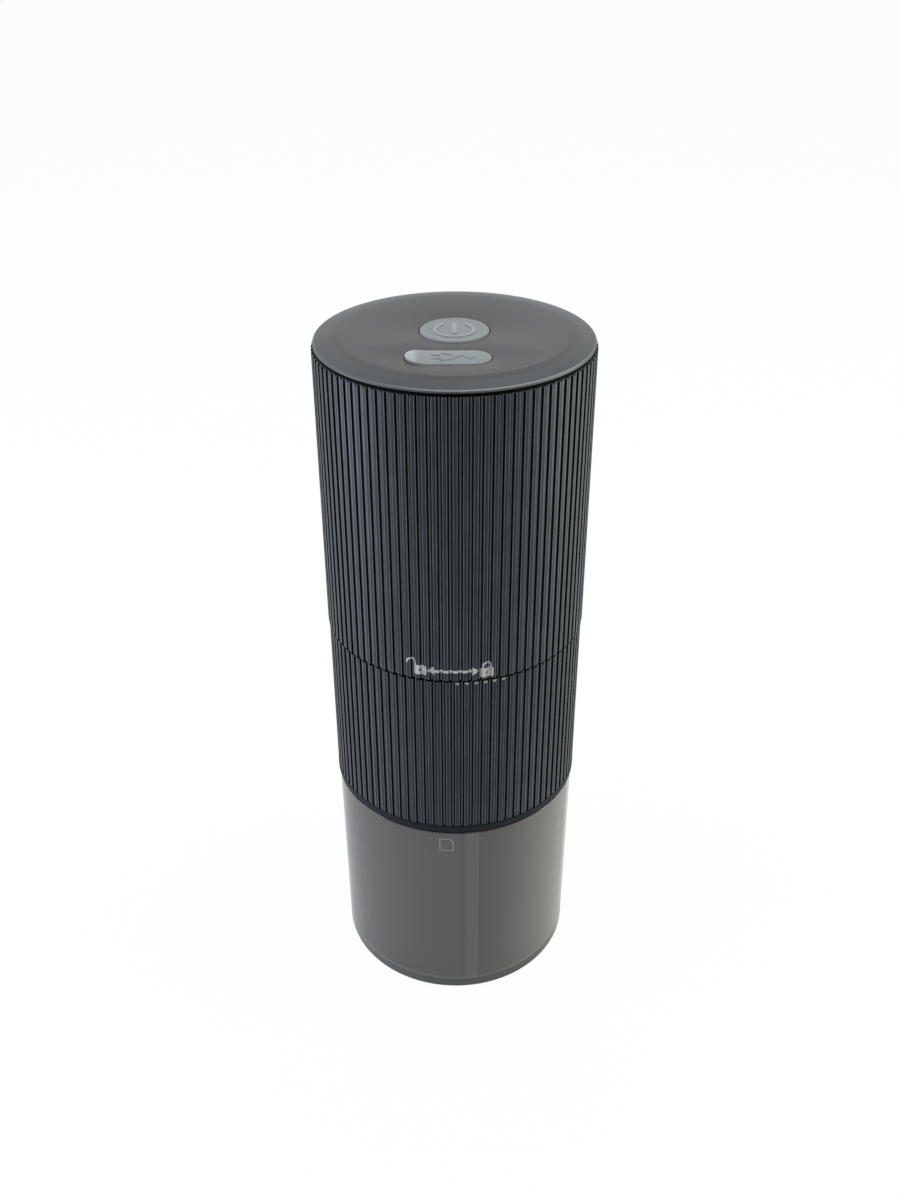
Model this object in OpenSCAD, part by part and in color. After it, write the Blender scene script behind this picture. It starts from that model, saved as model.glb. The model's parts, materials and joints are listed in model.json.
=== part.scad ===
// Cordless conical-burr coffee grinder: powder cup, ribbed grinder base and
// ribbed motor unit that locks on top with a short twist.
// +Z is up; the origin is the middle of the face that the cup stands on.

/* [Body] */
// Diameter over the rib crests of the motor unit
body_d = 75; // [66:0.5:90]
// Visible height of the powder cup, up to its shoulder
cup_h = 67.8; // [50:0.1:85]
// Height of the ribbed grinder base
base_h = 55; // [54:0.5:75]
// Height of the ribbed motor unit, without its top cap
unit_h = 83.4; // [83:0.1:110]
// Wall of both ribbed housings, measured under the ribs
housing_wall = 2.4; // [1.6:0.1:2.8]

/* [Ribs] */
// Number of ribs round each housing
rib_count = 90; // [60:6:96]
// Height of a rib over the groove floor
rib_depth = 0.45; // [0.3:0.05:0.6]
// Share of the rib pitch that the crest takes
rib_crest_share = 0.5; // [0.4:0.02:0.6]
// Share of the rib pitch that the groove floor takes
rib_floor_share = 0.2; // [0.1:0.02:0.3]
// How far the base's ribs lie past the motor unit's when the unit is locked, in degrees
rib_offset = 0.7; // [-1:0.1:1]
// How much smaller the grinder base is than the motor unit, on the radius
base_step = 0.3; // [0:0.05:0.6]
// Height of the plain collar under the lower ribs
collar_h = 2.5; // [1.5:0.1:5]
// Height of the plain band over the upper ribs
band_h = 0.8; // [0.6:0.1:3]

/* [Powder cup] */
// How much smaller the cup's shoulder is than the base's collar, on the radius
cup_step = 0.4; // [0.2:0.05:1]
// Inward taper of the cup's side from shoulder to foot, on the radius
cup_taper = 0.6; // [0:0.1:1.5]
// Wall of the cup
cup_wall = 2.4; // [1.8:0.1:3]
// Thickness of the cup's floor
cup_floor = 5; // [3:0.1:7]
// Rounding of the cup's outer foot edge
cup_foot_r = 1.4; // [0.5:0.1:2.4]
// Rounding of the corner inside the cup
cup_corner_r = 2.5; // [2:0.5:6]
// Height of the neck that plugs into the grinder base
neck_h = 10.4; // [8:0.1:11]
// Wall of the neck
neck_wall = 2; // [1.8:0.1:2.4]
// Height of the silicone seal round the neck
seal_h = 3.4; // [2.5:0.1:4]

/* [Top] */
// Rise of the top cap over its outer edge
cap_rise = 1.9; // [1.2:0.1:3]
// Width of the sloping bevel round the top
bevel_w = 6.6; // [4:0.1:7.5]
// Thickness of the cap's plate
cap_plate = 2.6; // [2.2:0.1:3]
// Diameter of the power button
button_d = 18.3; // [14:0.1:20]
// Distance of the button's centre behind the axis
button_y = 1; // [0:0.1:2]
// Travel of the power button
button_travel = 0.8; // [0.4:0.1:1]
// Length of the charging-port cover
cover_l = 21.6; // [20:0.1:23]
// Width of the charging-port cover
cover_w = 9.5; // [8:0.1:10]
// Place of the charging port's centre, sideways
port_x = -1.6; // [-2:0.1:-1]
// Distance of the charging port's centre in front of the axis
port_y = 18.4; // [17.8:0.1:19.5]
// Thickness of the port cover's flap
flap_t = 1.4; // [1.2:0.1:1.6]

/* [Hopper and burrs] */
// Wall of the bean hopper
hopper_wall = 2; // [1.6:0.1:2.4]
// Outside diameter of the ring burr
ring_burr_d = 39.8; // [38:0.1:42]
// Height of the ring burr
ring_burr_h = 19.2; // [18:0.1:20]
// Working diameter of the cone burr at its foot
cone_burr_d = 32.4; // [31:0.1:32.6]
// Height of the cone burr
cone_burr_h = 17.8; // [17:0.1:18.4]
// Gap between the burrs' teeth at the rest setting, on the radius
burr_gap = 0.75; // [0.6:0.05:1]
// Fine teeth round each burr
fine_teeth = 36; // [24:1:40]
// Depth of the fine teeth
fine_depth = 0.9; // [0.6:0.05:1.1]
// Crushing blades that wind up the cone burr
blade_count = 5; // [4:1:7]
// Diameter of the burr shaft
shaft_d = 6; // [5.4:0.1:6.4]
// Diameter of the adjusting knob
knob_d = 30; // [24:0.5:32]
// Height of the adjusting knob
knob_h = 9.6; // [8:0.1:11]

/* [Twist lock and drive] */
// Turn that unlocks the motor unit, in degrees
unlock_turn = 28; // [20:1:34]
// Width of a locking lug, in degrees
lug_turn = 20; // [14:1:24]
// Height of a locking lug
lug_h = 2.5; // [2:0.1:3]
// Outside diameter of the drive claws
claw_d = 18; // [14:0.5:20]
// Width of one claw tooth, in degrees
claw_turn = 40; // [30:1:44]
// Height of a claw tooth
claw_h = 4.4; // [3:0.1:5]

/* [Gearbox] */
// Module of the planetary gears
gear_module = 0.55; // [0.5:0.01:0.56]
// Teeth of each sun gear, a multiple of three
sun_teeth = 12; // [12:3:12]
// Teeth of each planet gear
planet_teeth = 18; // [18:6:18]
// Face width of the planet gears
planet_w = 5.2; // [4:0.1:5.2]
// Diameter of the planet pins
pin_d = 2.4; // [2:0.1:2.8]

/* [Motor and cells] */
// Diameter of the motor
motor_d = 27.6; // [24:0.1:28]
// Length of the motor's can
motor_l = 31; // [28:0.5:36]
// Diameter of a battery cell
cell_d = 18.4; // [18:0.1:18.6]
// Length of a battery cell
cell_l = 65; // [60:0.1:66]
// Thickness of the circuit board
board_t = 1.6; // [1:0.1:2]

/* [Clearances] */
// Open joint line between two housings
seam = 0.2; // [0.1:0.05:0.4]
// Free gap between pieces that move past each other
move_gap = 0.3; // [0.2:0.05:0.4]
// Radial running clearance of a shaft or pin
run_gap = 0.05; // [0.02:0.01:0.1]
// Slip clearance between pieces that stay together
slip_gap = 0.1; // [0.05:0.05:0.2]
// Clearance of a piece pressed onto or into another, on the radius
press_gap = 0.01; // [0.01:0.01:0.02]

/* [Hidden] */
$fn = 96;
eps = 0.01;
far = 200;

// Radii of the outer skin
body_r = body_d / 2;
body_core_r = body_r - rib_depth;
base_r = body_r - base_step;
base_core_r = base_r - rib_depth;
collar_rise = 0.05;
collar_r = base_r + collar_rise;
housing_in_r = base_core_r - housing_wall;
unit_in_r = body_core_r - housing_wall;
cup_r = base_r - cup_step;
foot_r = cup_r - cup_taper;

// Depth to which the ribs root in their housing, and to which one form runs into another
rib_root = 0.1;
weld = 0.5;

// Heights of the three housings
base_z = cup_h + seam;
base_top = base_z + base_h;
unit_z = base_top + seam;
unit_top = unit_z + unit_h;
cap_z = unit_top;
top_z = cap_z + cap_rise;

// Cup neck and its seal
neck_r = housing_in_r - 2 * move_gap;
neck_in_r = neck_r - neck_wall;
neck_top = cup_h + neck_h;
neck_chamfer = 1;
neck_draw = 0.6;
shoulder_chamfer = 0.8;
shoulder_inner_h = 5;
foot_rim_w = 5;
foot_rim_h = 0.8;
seal_z = cup_h + neck_h / 2 - seal_h / 2;
seal_depth = neck_wall / 2;
seal_lip_h = 0.8;
seal_lip_inset = 0.4;
cup_in_r = cup_r - cup_wall;
foot_in_r = foot_r - cup_wall;

// Deck across the grinder base that closes the cup's space
deck_t = 2.2;
deck_z = neck_top + 2 * move_gap;
deck_top = deck_z + deck_t;

// Ring burr, in a boss that hangs through the deck
ring_burr_r = ring_burr_d / 2;
boss_wall = 4;
boss_in_r = ring_burr_r + slip_gap;
boss_r = boss_in_r + boss_wall;
retainer_t = 2.4;
retainer_ring = boss_r - boss_wall / 2 + slip_gap;
retainer_lap = 2;
retainer_bite = 4.5;
retainer_head_h = 1;
boss_drop = 5.6;
retainer_screw_r = 0.8;
boss_z = deck_z - boss_drop;
ring_burr_z = boss_z;
ring_burr_top = ring_burr_z + ring_burr_h;
throat_lip = 1.2;
throat_r = ring_burr_r - throat_lip;
lip_t = 1.2;
key_r = 1.5;
key_ring = boss_in_r + 0.3;

// Hopper funnel
hopper_r = housing_in_r - slip_gap;
hopper_in_r = hopper_r - hopper_wall;
funnel_z = ring_burr_top + lip_t;
funnel_h = 12.5;
funnel_top = funnel_z + funnel_h;
funnel_lip = 1;
funnel_rim_z = funnel_top + funnel_lip;
funnel_root = 3;
funnel_slope = (hopper_in_r - throat_r) / (funnel_rim_z - funnel_z);
lock_z = base_top - 12.2;
hopper_top = lock_z - 2;
gusset_t = 1.6;
gusset_count = 6;
hopper_screw_ring = 29;
hopper_screw_bite = 5;
hopper_head_h = 1.4;

// Cone burr on its shaft
shaft_r = shaft_d / 2;
cone_r = cone_burr_d / 2;
cone_z = ring_burr_z + 0.6;
cone_top = cone_z + cone_burr_h;
cone_skirt_h = 10.4;
cone_mid_z = cone_z + cone_skirt_h;
cone_waist_in = 4.3;
cone_mid_r = cone_r - cone_waist_in;
cone_tip_wall = 4.6;
cone_tip_r = shaft_r + cone_tip_wall;
cone_hub_r = cone_tip_r - 0.6;
blade_depth = 3.2;
spring_bore_r = shaft_r + 2.2;
spring_pocket_h = 4.8;
spring_seat = cone_top - spring_pocket_h;
ring_foot_r = cone_r + burr_gap;
waist_z = cone_mid_z + 1.6;
waist_r = cone_mid_r + burr_gap;
flat_cut = shaft_r - 0.6;
click_t = 1.2;
click_r = 13;
click_z = cone_z - click_t;
knob_r = knob_d / 2;
grip_r = 2.1;
grip_sink = 1;
grip_crown = 1.6;
knob_skirt_w = 3.4;
knob_hub_wall = 2;
knob_web_t = 4;
knob_top = click_z - move_gap / 2;
knob_z = knob_top - knob_h;
insert_r = shaft_r + 2.2;
grip_count = 18;
shaft_z = knob_z - 1.4;

// Bridge that carries the shaft over the burrs
bridge_lift = 5.4;
bridge_z = funnel_z + bridge_lift;
bridge_t = 3.6;
bridge_top = bridge_z + bridge_t;
bush_r = shaft_r + 2.4;
bridge_hub_r = bush_r + 2.2;
arm_w = 5;
pad_turn = 15;
pad_root = 0.8;
pad_r = throat_r + 0.3;
bridge_screw_r = 0.85;
bridge_screw_ring = pad_r + 2.4;
bridge_screw_bite = 2.8;
bridge_head_h = 1.1;
washer_t = 0.8;
washer_z = bridge_z - move_gap - washer_t;
clip_t = 0.8;
clip_rim = 1.8;
washer_rim = 2.2;
clip_mouth = 3.8;
groove_r = shaft_r - 0.4;
clip_z = bridge_top + move_gap;
spring_wire = 0.45;
spring_r = shaft_r + 1.2;
spring_turns = 4;

// Drive claws between burr shaft and gearbox
claw_r = claw_d / 2;
claw_rim_w = 4.4;
claw_plate_t = 3.2;
claw_hub_h = 6.5;
claw_in_r = claw_r - claw_rim_w;
plate_t = 2;
plate_z = base_top - 3.5;
plate_top = plate_z + plate_t;
upper_claw_top = plate_z - move_gap;
upper_claw_z = upper_claw_top - claw_plate_t;
lower_claw_top = upper_claw_z - claw_h - move_gap;
lower_claw_z = lower_claw_top - claw_hub_h;
claw_hub_r = 6.6;
claw_inset = 0.3;
claw_offset = 90 - unlock_turn / 2;
shaft_top = lower_claw_top - 0.4;
cross_pin_r = 1;
cross_pin_lift = 3;
cross_pin_inset = 0.4;
claw_flange_t = 2;

// Twist lock between chassis skirt and grinder base
skirt_r = housing_in_r - 2 * move_gap;
skirt_wall = 3.4;
skirt_in_r = skirt_r - skirt_wall;
skirt_z = lock_z + 1.4;
lug_count = 3;
lug_in_r = skirt_r - 1.6;
lug_z = skirt_z + 4.2;
track_r = lug_in_r - move_gap;
track_spare = 0.8;

// Chassis and the web of the motor unit that it is screwed to
web_z = unit_z + 0.4;
web_t = 2.4;
web_top = web_z + web_t;
web_in_r = 24.4;
unit_screw_ring = 27.6;
unit_screw_start = 45;
unit_screw_r = 1.1;
unit_boss_r = 3;
unit_boss_h = 4.6;

// Gearbox
ring_teeth = sun_teeth + 2 * planet_teeth;
gear_centre = gear_module * (sun_teeth + planet_teeth) / 2;
backlash = 0.07;
ring_tip_r = gear_module * (ring_teeth / 2 - 0.9);
gear_can_wall = 1.6;
gear_can_r = gear_module * (ring_teeth / 2 + 1.25) + gear_can_wall;
cover_plate_t = 2;
gear_can_z = plate_top + cover_plate_t;
carrier_t = 1.8;
carrier_r = ring_tip_r - 0.5;
stage_gap = 0.35;
out_carrier_z = gear_can_z + 0.6;
out_planet_z = out_carrier_z + carrier_t + stage_gap;
in_carrier_z = out_planet_z + planet_w + 2 * stage_gap;
in_planet_z = in_carrier_z + carrier_t + stage_gap;
roof_t = 2;
roof_z = in_planet_z + planet_w + 2 * stage_gap;
gear_can_top = roof_z + roof_t;
out_shaft_r = 3;
out_flat = 0.6;
out_bush_r = 5.6;
pin_r = pin_d / 2;
motor_shaft_r = 1.15;
motor_boss_r = 4;
motor_screw_ring = 8;
motor_screw_r = 0.8;
motor_head_h = 0.9;
motor_screw_bite = 1.4;

// Motor, cells and their frame
motor_r = motor_d / 2;
motor_z = gear_can_top;
motor_top = motor_z + motor_l;
end_bell_t = 2.6;
motor_shaft_in = 5.5;
motor_boss_h = 1.6;
cell_r = cell_d / 2;
cell_x = gear_can_r + cell_r + 0.25;
tray_t = 2.5;
strip_t = 0.3;
cell_z = web_top + tray_t + strip_t;
cell_top = cell_z + cell_l;
pocket_wall = 1.4;
pocket_h = 5;
frame_r = unit_in_r - slip_gap;
board_tray_z = cell_top + strip_t;
board_tray_t = 1.8;
board_tray_top = board_tray_z + board_tray_t;
tray_hole_r = 12;
standoff_h = 1;
board_z = board_tray_top + standoff_h;
board_top = board_z + board_t;
board_inset = 2.6;
board_r = unit_in_r - board_inset;
board_screw_ring = 24;
board_screw_r = 0.85;
board_screw_bite = 2;
standoff_r = 2.6;
notch_r = 3.6;

// Top cap with button and port cover
cap_r = body_core_r;
cap_edge_r = 0.5;
cap_flat_r = cap_r - cap_edge_r - bevel_w;
cap_under = top_z - cap_plate;
cap_skirt_r = unit_in_r - slip_gap;
cap_skirt_t = 1.6;
cap_skirt_in_r = cap_skirt_r - cap_skirt_t;
cap_skirt_h = 5;
cap_under_chamfer = 1.6;
cap_rim_h = 0.1;
bevel_crown = 0.45;
snap_count = 4;
snap_turn = 12;
snap_z = cap_z - cap_skirt_h + 0.8;
snap_h = 1.2;
snap_reach = 0.35;
snap_gap = 0.15;
snap_spare = 1;
cap_post_r = 2.4;
cap_post_ring = board_r - 0.6;
anchor_stem_r = 0.9;
anchor_barb_r = 1.3;
anchor_barb_h = 1.5;
button_r = button_d / 2;
button_gap = 0.22;
button_hole_r = button_r + button_gap;
button_lip = 1.3;
button_flange_r = button_r + button_lip;
button_flange_t = 0.9;
button_proud = 0.35;
button_stem_r = 2.2;
flap_z = top_z + 0.15 - flap_t;
recess_z = flap_z - 0.1;
recess_gap = 0.2;
cover_x0 = port_x - 10.8;
cover_x1 = cover_x0 + cover_l;
hinge_x = cover_x1 - 3.6;
anchor_x = cover_x1 - 1.9;
hinge_gap = 0.4;
lip_len = 3;
lip_rise = 0.6;
socket_l = 8.94;
socket_w = 3.26;
socket_wall = 0.3;
socket_top = recess_z - 0.2;
port_slot = 0.25;
plug_l = 7.4;
plug_w = 1.8;
plug_depth = 0.8;
switch_w = 6;
plunger_r = 1.75;
plunger_z = cap_under - 2;
switch_top = plunger_z - button_travel - move_gap;
plunger_l = 2.4;

// A plain tube between two heights
module tube(r_out, r_in, z0, z1) {
    translate([0, 0, z0]) difference() {
        cylinder(r = r_out, h = z1 - z0);
        translate([0, 0, -eps]) cylinder(r = r_in, h = z1 - z0 + 2 * eps);
    }
}

// A disc between two heights
module disc(r, z0, z1) {
    translate([0, 0, z0]) cylinder(r = r, h = z1 - z0);
}

// Part of a tube, from one angle to another
module tube_arc(r_out, r_in, z0, z1, a0, a1) {
    translate([0, 0, z0]) rotate([0, 0, a0]) rotate_extrude(angle = a1 - a0)
        translate([r_in, 0]) square([r_out - r_in, z1 - z0]);
}

// Copies of a piece, evenly spaced round the axis
module around(count, start = 0) {
    for (i = [0 : count - 1]) rotate([0, 0, start + i * 360 / count]) children();
}

// Pan-head screw with its shank up from under the head's seat at z
module screw_up(ring, z, shank_r, shank_l, head_r, head_h) {
    translate([ring, 0, z]) {
        cylinder(r = shank_r, h = shank_l);
        difference() {
            translate([0, 0, -head_h]) cylinder(r = head_r, h = head_h);
            translate([0, 0, -head_h]) cross_slot(head_r, head_h);
        }
    }
}

// Pan-head screw with its shank down from its head's seat at z
module screw_down(ring, z, shank_r, shank_l, head_r, head_h) {
    translate([ring, 0, z]) rotate([180, 0, 0]) screw_up(0, 0, shank_r, shank_l, head_r, head_h);
}

// Cross recess in a screw head
module cross_slot(head_r, head_h) {
    slot_l = head_r * 1.1;
    slot_w = head_r * 0.28;
    for (turn = [0, 90]) rotate([0, 0, turn])
        translate([-slot_l / 2, -slot_w / 2, -eps]) cube([slot_l, slot_w, head_h * 0.55]);
}

// Outline of the ribs: crests on radius r, feet just under the groove floor
function rib_points(r) = let (pitch = 360 / rib_count, crest = pitch * rib_crest_share / 2,
        foot = pitch * (1 - rib_floor_share) / 2, low = r - rib_depth - rib_root)
    [for (i = [0 : rib_count - 1]) let (a = i * pitch)
        each [[a - foot, low], [a - crest, r], [a + crest, r], [a + foot, low]]];

// Ribbed skin between two heights, solid to the axis
module ribbed_skin(r, z0, z1) {
    translate([0, 0, z0]) linear_extrude(z1 - z0)
        polygon([for (p = rib_points(r)) p[1] * [sin(p[0]), -cos(p[0])]]);
}

// Angle between a radius and the involute that starts on the base circle, at radius r
function involute(base, r) = let (a = acos(min(1, base / r))) tan(a) * 180 / PI - a;

// Outline of a spur gear; inside = 1 gives the space cut by an internal gear
function gear_points(teeth, inside = 0) = let (
        pitch_r = gear_module * teeth / 2, base = pitch_r * cos(20),
        tip = pitch_r + gear_module * (inside ? 1.2 : 0.9),
        root = pitch_r - gear_module * (inside ? 0.9 : 1.2),
        slack = (inside ? 1 : -1) * backlash / 2 / pitch_r * 180 / PI,
        half = 90 / teeth + slack + involute(base, pitch_r),
        low = max(root, base), rs = [low, (low + pitch_r) / 2, pitch_r, (pitch_r + tip) / 2, tip])
    [for (i = [0 : teeth - 1]) let (a = i * 360 / teeth) each concat(
        [[a - half, root]],
        [for (r = rs) [a - half + involute(base, r), r]],
        [for (j = [4 : -1 : 0]) [a + half - involute(base, rs[j]), rs[j]]],
        [[a + half, root]])];

module gear_outline(teeth, inside = 0) {
    polygon([for (p = gear_points(teeth, inside)) p[1] * [cos(p[0]), sin(p[0])]]);
}

// Saw-tooth outline with its tips on radius r
module saw_outline(r, count, depth, lean = 0.8) {
    pitch = 360 / count;
    polygon([for (i = [0 : count - 1]) let (a = i * pitch) each [
        r * [cos(a), sin(a)], r * [cos(a + 0.14 * pitch), sin(a + 0.14 * pitch)],
        (r - depth) * [cos(a + lean * pitch), sin(a + lean * pitch)]]]);
}

// Blade outline of the crushing stage: a few hooked arms
module blade_outline(r, count, depth) {
    pitch = 360 / count;
    steps = 6;
    polygon([for (i = [0 : count - 1]) each [for (k = [0 : steps])
        let (t = k / steps, a = (i + 0.16 + 0.74 * t) * pitch,
            q = k == 0 ? r : r - depth * pow(sin(180 * (0.12 + 0.6 * t)), 0.8))
        q * [cos(a), sin(a)]]]);
}

// Pill outline along X between two ends
module pill(x0, x1, w) {
    translate([x0 + w / 2, -w / 2]) square([x1 - x0 - w, w]);
    translate([x0 + w / 2, 0]) circle(d = w);
    translate([x1 - w / 2, 0]) circle(d = w);
}

// ---------------------------------------------------------------- powder cup

module cup_section() {
    difference() {
        union() {
            polygon([[0, 0], [foot_r - cup_foot_r, 0], [foot_r, cup_foot_r], [cup_r, cup_h - shoulder_chamfer],
                [cup_r - shoulder_chamfer, cup_h], [neck_r, cup_h], [neck_r, neck_top - neck_chamfer],
                [neck_r - neck_draw, neck_top], [0, neck_top]]);
            intersection() {
                translate([foot_r - cup_foot_r, cup_foot_r]) circle(r = cup_foot_r);
                translate([foot_r - cup_foot_r, 0]) square(cup_foot_r);
            }
        }
        difference() {
            polygon([[0, cup_floor], [foot_in_r, cup_floor], [cup_in_r, cup_h - shoulder_inner_h],
                [neck_in_r, cup_h + 1], [neck_in_r, neck_top + 1], [0, neck_top + 1]]);
            difference() {
                translate([foot_in_r - cup_corner_r, cup_floor - 1]) square(cup_corner_r + 1);
                translate([foot_in_r - cup_corner_r, cup_floor + cup_corner_r])
                    circle(r = cup_corner_r);
                translate([0, cup_floor + cup_corner_r]) square([far, far]);
            }
        }
        translate([neck_r - seal_depth, seal_z]) square([far, seal_h]);
        translate([0, -eps]) square([foot_r - foot_rim_w, foot_rim_h + eps]);
    }
}

module powder_cup() {
    color([0.42, 0.42, 0.41, 0.5]) rotate_extrude() cup_section();
}

module cup_seal() {
    seal_r = housing_in_r - run_gap;
    body_seal_r = (neck_r + seal_r) / 2;
    color("dimgray") {
        tube(body_seal_r, neck_r - seal_depth, seal_z, seal_z + seal_h);
        for (z = [seal_z + seal_lip_inset, seal_z + seal_h - seal_lip_inset - seal_lip_h])
            tube(seal_r, body_seal_r - eps, z, z + seal_lip_h);
    }
}

// -------------------------------------------------------------- grinder base

module deck_holes() {
    disc(boss_r + slip_gap, deck_z - 1, deck_top + 1);
    around(3, 30) translate([hopper_screw_ring, 0, 0])
        disc(unit_screw_r + slip_gap, deck_z - 1, deck_top + 1);
}

module lower_housing() {
    color([0.13, 0.14, 0.17]) {
        difference() {
            union() {
                rotate([0, 0, rib_offset]) {
                    ribbed_skin(base_r, base_z + collar_h, base_top);
                    disc(base_core_r, base_z + collar_h, base_top);
                }
                disc(collar_r, base_z, base_z + collar_h);
            }
            disc(housing_in_r, base_z - 1, deck_z);
            disc(housing_in_r, deck_top, base_top + 1);
            deck_holes();
        }
        around(lug_count) tube_arc(housing_in_r + eps, lug_in_r, lug_z, lug_z + lug_h,
            -lug_turn / 2, lug_turn / 2);
    }
}

// Radius of the funnel's inner face at a height, and its height at a radius
function funnel_radius(z) = throat_r + (z - funnel_z) * funnel_slope;
function funnel_height(r) = funnel_z + (r - throat_r) / funnel_slope;

// Half section of the hopper: wall, funnel and burr boss
module hopper_section() {
    polygon([[hopper_r, hopper_top], [hopper_r, funnel_top - funnel_lip], [boss_r, funnel_z - funnel_root],
        [boss_r, boss_z], [boss_in_r, boss_z], [boss_in_r, ring_burr_top], [throat_r, ring_burr_top],
        [throat_r, funnel_z], [hopper_in_r, funnel_rim_z], [hopper_in_r, hopper_top]]);
}

module bean_hopper() {
    post_wall = 1.7;
    post_r = unit_screw_r + post_wall;
    color([0.2, 0.2, 0.21]) difference() {
        union() {
            rotate_extrude() hopper_section();
            difference() {
                union() {
                    around(gusset_count) translate([boss_r - 1, -gusset_t / 2, deck_top])
                        cube([hopper_r - boss_r - weld, gusset_t, funnel_top - deck_top - 2]);
                    around(3, 30) translate([hopper_screw_ring, 0, 0])
                        disc(post_r, deck_top, funnel_top - 2);
                }
                rotate_extrude() polygon([[0, deck_top - 1], [boss_r - weld, deck_top - 1],
                    [boss_r - weld, funnel_z - funnel_root], [hopper_r - weld, funnel_top - funnel_lip],
                    [hopper_r - weld, hopper_top], [0, hopper_top]]);
            }
            around(3, 60) translate([key_ring, 0, 0]) disc(key_r, boss_z + weld, ring_burr_top + weld);
            around(3, 60) rotate([0, 0, -pad_turn / 2]) rotate_extrude(angle = pad_turn)
                polygon([[pad_r, bridge_z], [pad_r, funnel_height(pad_r) - pad_root],
                    [funnel_radius(bridge_z) + pad_root, bridge_z]]);
        }
        around(3, 30) translate([hopper_screw_ring, 0, 0])
            disc(unit_screw_r + press_gap, deck_top - 1, deck_top + hopper_screw_bite + 1);
        around(3) translate([retainer_ring, 0, 0])
            disc(retainer_screw_r + press_gap, boss_z - 1, boss_z + retainer_bite + 0.5);
        around(3, 60) translate([bridge_screw_ring, 0, 0])
            disc(bridge_screw_r, bridge_z - bridge_screw_bite - 0.2, bridge_z + 1);
    }
}

module hopper_screws() {
    color("silver") around(3, 30) screw_up(hopper_screw_ring, deck_z, unit_screw_r,
        deck_t + hopper_screw_bite, unit_screw_r * 2, hopper_head_h);
}

module outer_burr() {
    coarse_teeth = 12;
    coarse_depth = 1.4;
    lower_h = waist_z - ring_burr_z;
    upper_h = ring_burr_top - waist_z;
    color([0.93, 0.91, 0.86]) difference() {
        disc(ring_burr_r, ring_burr_z, ring_burr_top);
        translate([0, 0, ring_burr_z - eps]) linear_extrude(lower_h + 2 * eps, twist = -16, slices = 6,
            scale = (waist_r + fine_depth) / (ring_foot_r + fine_depth))
            saw_outline(ring_foot_r + fine_depth, fine_teeth, fine_depth);
        translate([0, 0, waist_z - eps]) linear_extrude(upper_h + 2 * eps, twist = -14, slices = 4,
            scale = (throat_r - 1) / waist_r) saw_outline(waist_r + 0.3, coarse_teeth, coarse_depth, 0.7);
        around(3, 60) translate([key_ring, 0, 0])
            disc(key_r + slip_gap, ring_burr_z - 1, ring_burr_top + 1);
    }
}

module burr_retainer() {
    color("dimgray") difference() {
        tube(boss_r, ring_burr_r - retainer_lap, boss_z - retainer_t, boss_z);
        around(3) translate([retainer_ring, 0, 0])
            disc(retainer_screw_r + slip_gap, boss_z - retainer_t - 1, boss_z + 1);
    }
}

module retainer_screws() {
    color("silver") around(3) screw_up(retainer_ring, boss_z - retainer_t, retainer_screw_r,
        retainer_t + retainer_bite, 2 * retainer_screw_r, retainer_head_h);
}

module shaft_bridge() {
    color([0.25, 0.25, 0.26]) difference() {
        union() {
            disc(bridge_hub_r, bridge_z, bridge_top);
            around(3, 60) intersection() {
                translate([0, -arm_w / 2, bridge_z]) cube([hopper_in_r, arm_w, bridge_t]);
                rotate_extrude() polygon([[0, bridge_z], [funnel_radius(bridge_z) - slip_gap, bridge_z],
                    [funnel_radius(bridge_top) - slip_gap, bridge_top], [0, bridge_top]]);
            }
        }
        disc(bush_r + press_gap, bridge_z - 1, bridge_top + 1);
        around(3, 60) translate([bridge_screw_ring, 0, 0])
            disc(bridge_screw_r + slip_gap, bridge_z - 1, bridge_top + 1);
    }
}

module bridge_bush() {
    color("goldenrod") tube(bush_r, shaft_r + run_gap, bridge_z, bridge_top);
}

module bridge_screws() {
    color("silver") around(3, 60) screw_down(bridge_screw_ring, bridge_top,
        bridge_screw_r - press_gap, bridge_t + bridge_screw_bite, 2 * bridge_screw_r, bridge_head_h);
}

// ---------------------------------------------------------------- burr shaft

module shaft_flats(z0, z1, grow = 0) {
    for (side = [-1, 1]) translate([-far / 2, side > 0 ? flat_cut + grow : -flat_cut - grow - far, z0])
        cube([far, far, z1 - z0]);
}

module burr_shaft() {
    color("lightgray") difference() {
        disc(shaft_r, shaft_z, shaft_top);
        difference() {
            disc(far, click_z - 1, washer_z - 1);
            translate([-far, -flat_cut, click_z - 2]) cube([2 * far, 2 * flat_cut, far]);
        }
        tube(far, groove_r, clip_z - press_gap, clip_z + clip_t + press_gap);
        tube(far, groove_r, washer_z - press_gap, washer_z + washer_t + press_gap);
        translate([0, 0, lower_claw_z + cross_pin_lift]) rotate([90, 0, 0])
            cylinder(r = cross_pin_r + press_gap, h = 4 * claw_hub_r, center = true);
    }
}

module lower_claw() {
    color("gray") difference() {
        union() {
            disc(claw_hub_r, lower_claw_z, lower_claw_top);
            disc(claw_r, lower_claw_top - claw_flange_t, lower_claw_top);
            around(2) tube_arc(claw_r - claw_inset, claw_in_r, lower_claw_top - 1, lower_claw_top + claw_h,
                -claw_turn / 2, claw_turn / 2);
        }
        disc(shaft_r + press_gap, lower_claw_z - 1, shaft_top + press_gap);
        translate([0, 0, lower_claw_z + cross_pin_lift]) rotate([90, 0, 0])
            cylinder(r = cross_pin_r + press_gap, h = 4 * claw_hub_r, center = true);
    }
}

module claw_pin() {
    pin_l = 2 * (claw_hub_r - cross_pin_inset);
    color("silver") translate([0, 0, lower_claw_z + cross_pin_lift]) rotate([90, 0, 0])
        cylinder(r = cross_pin_r, h = pin_l, center = true);
}

module shaft_clip() {
    color("silver") difference() {
        tube(shaft_r + clip_rim, groove_r + press_gap, clip_z, clip_z + clip_t);
        translate([0, -clip_mouth / 2, clip_z - 1]) cube([far, clip_mouth, clip_t + 2]);
    }
}

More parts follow.
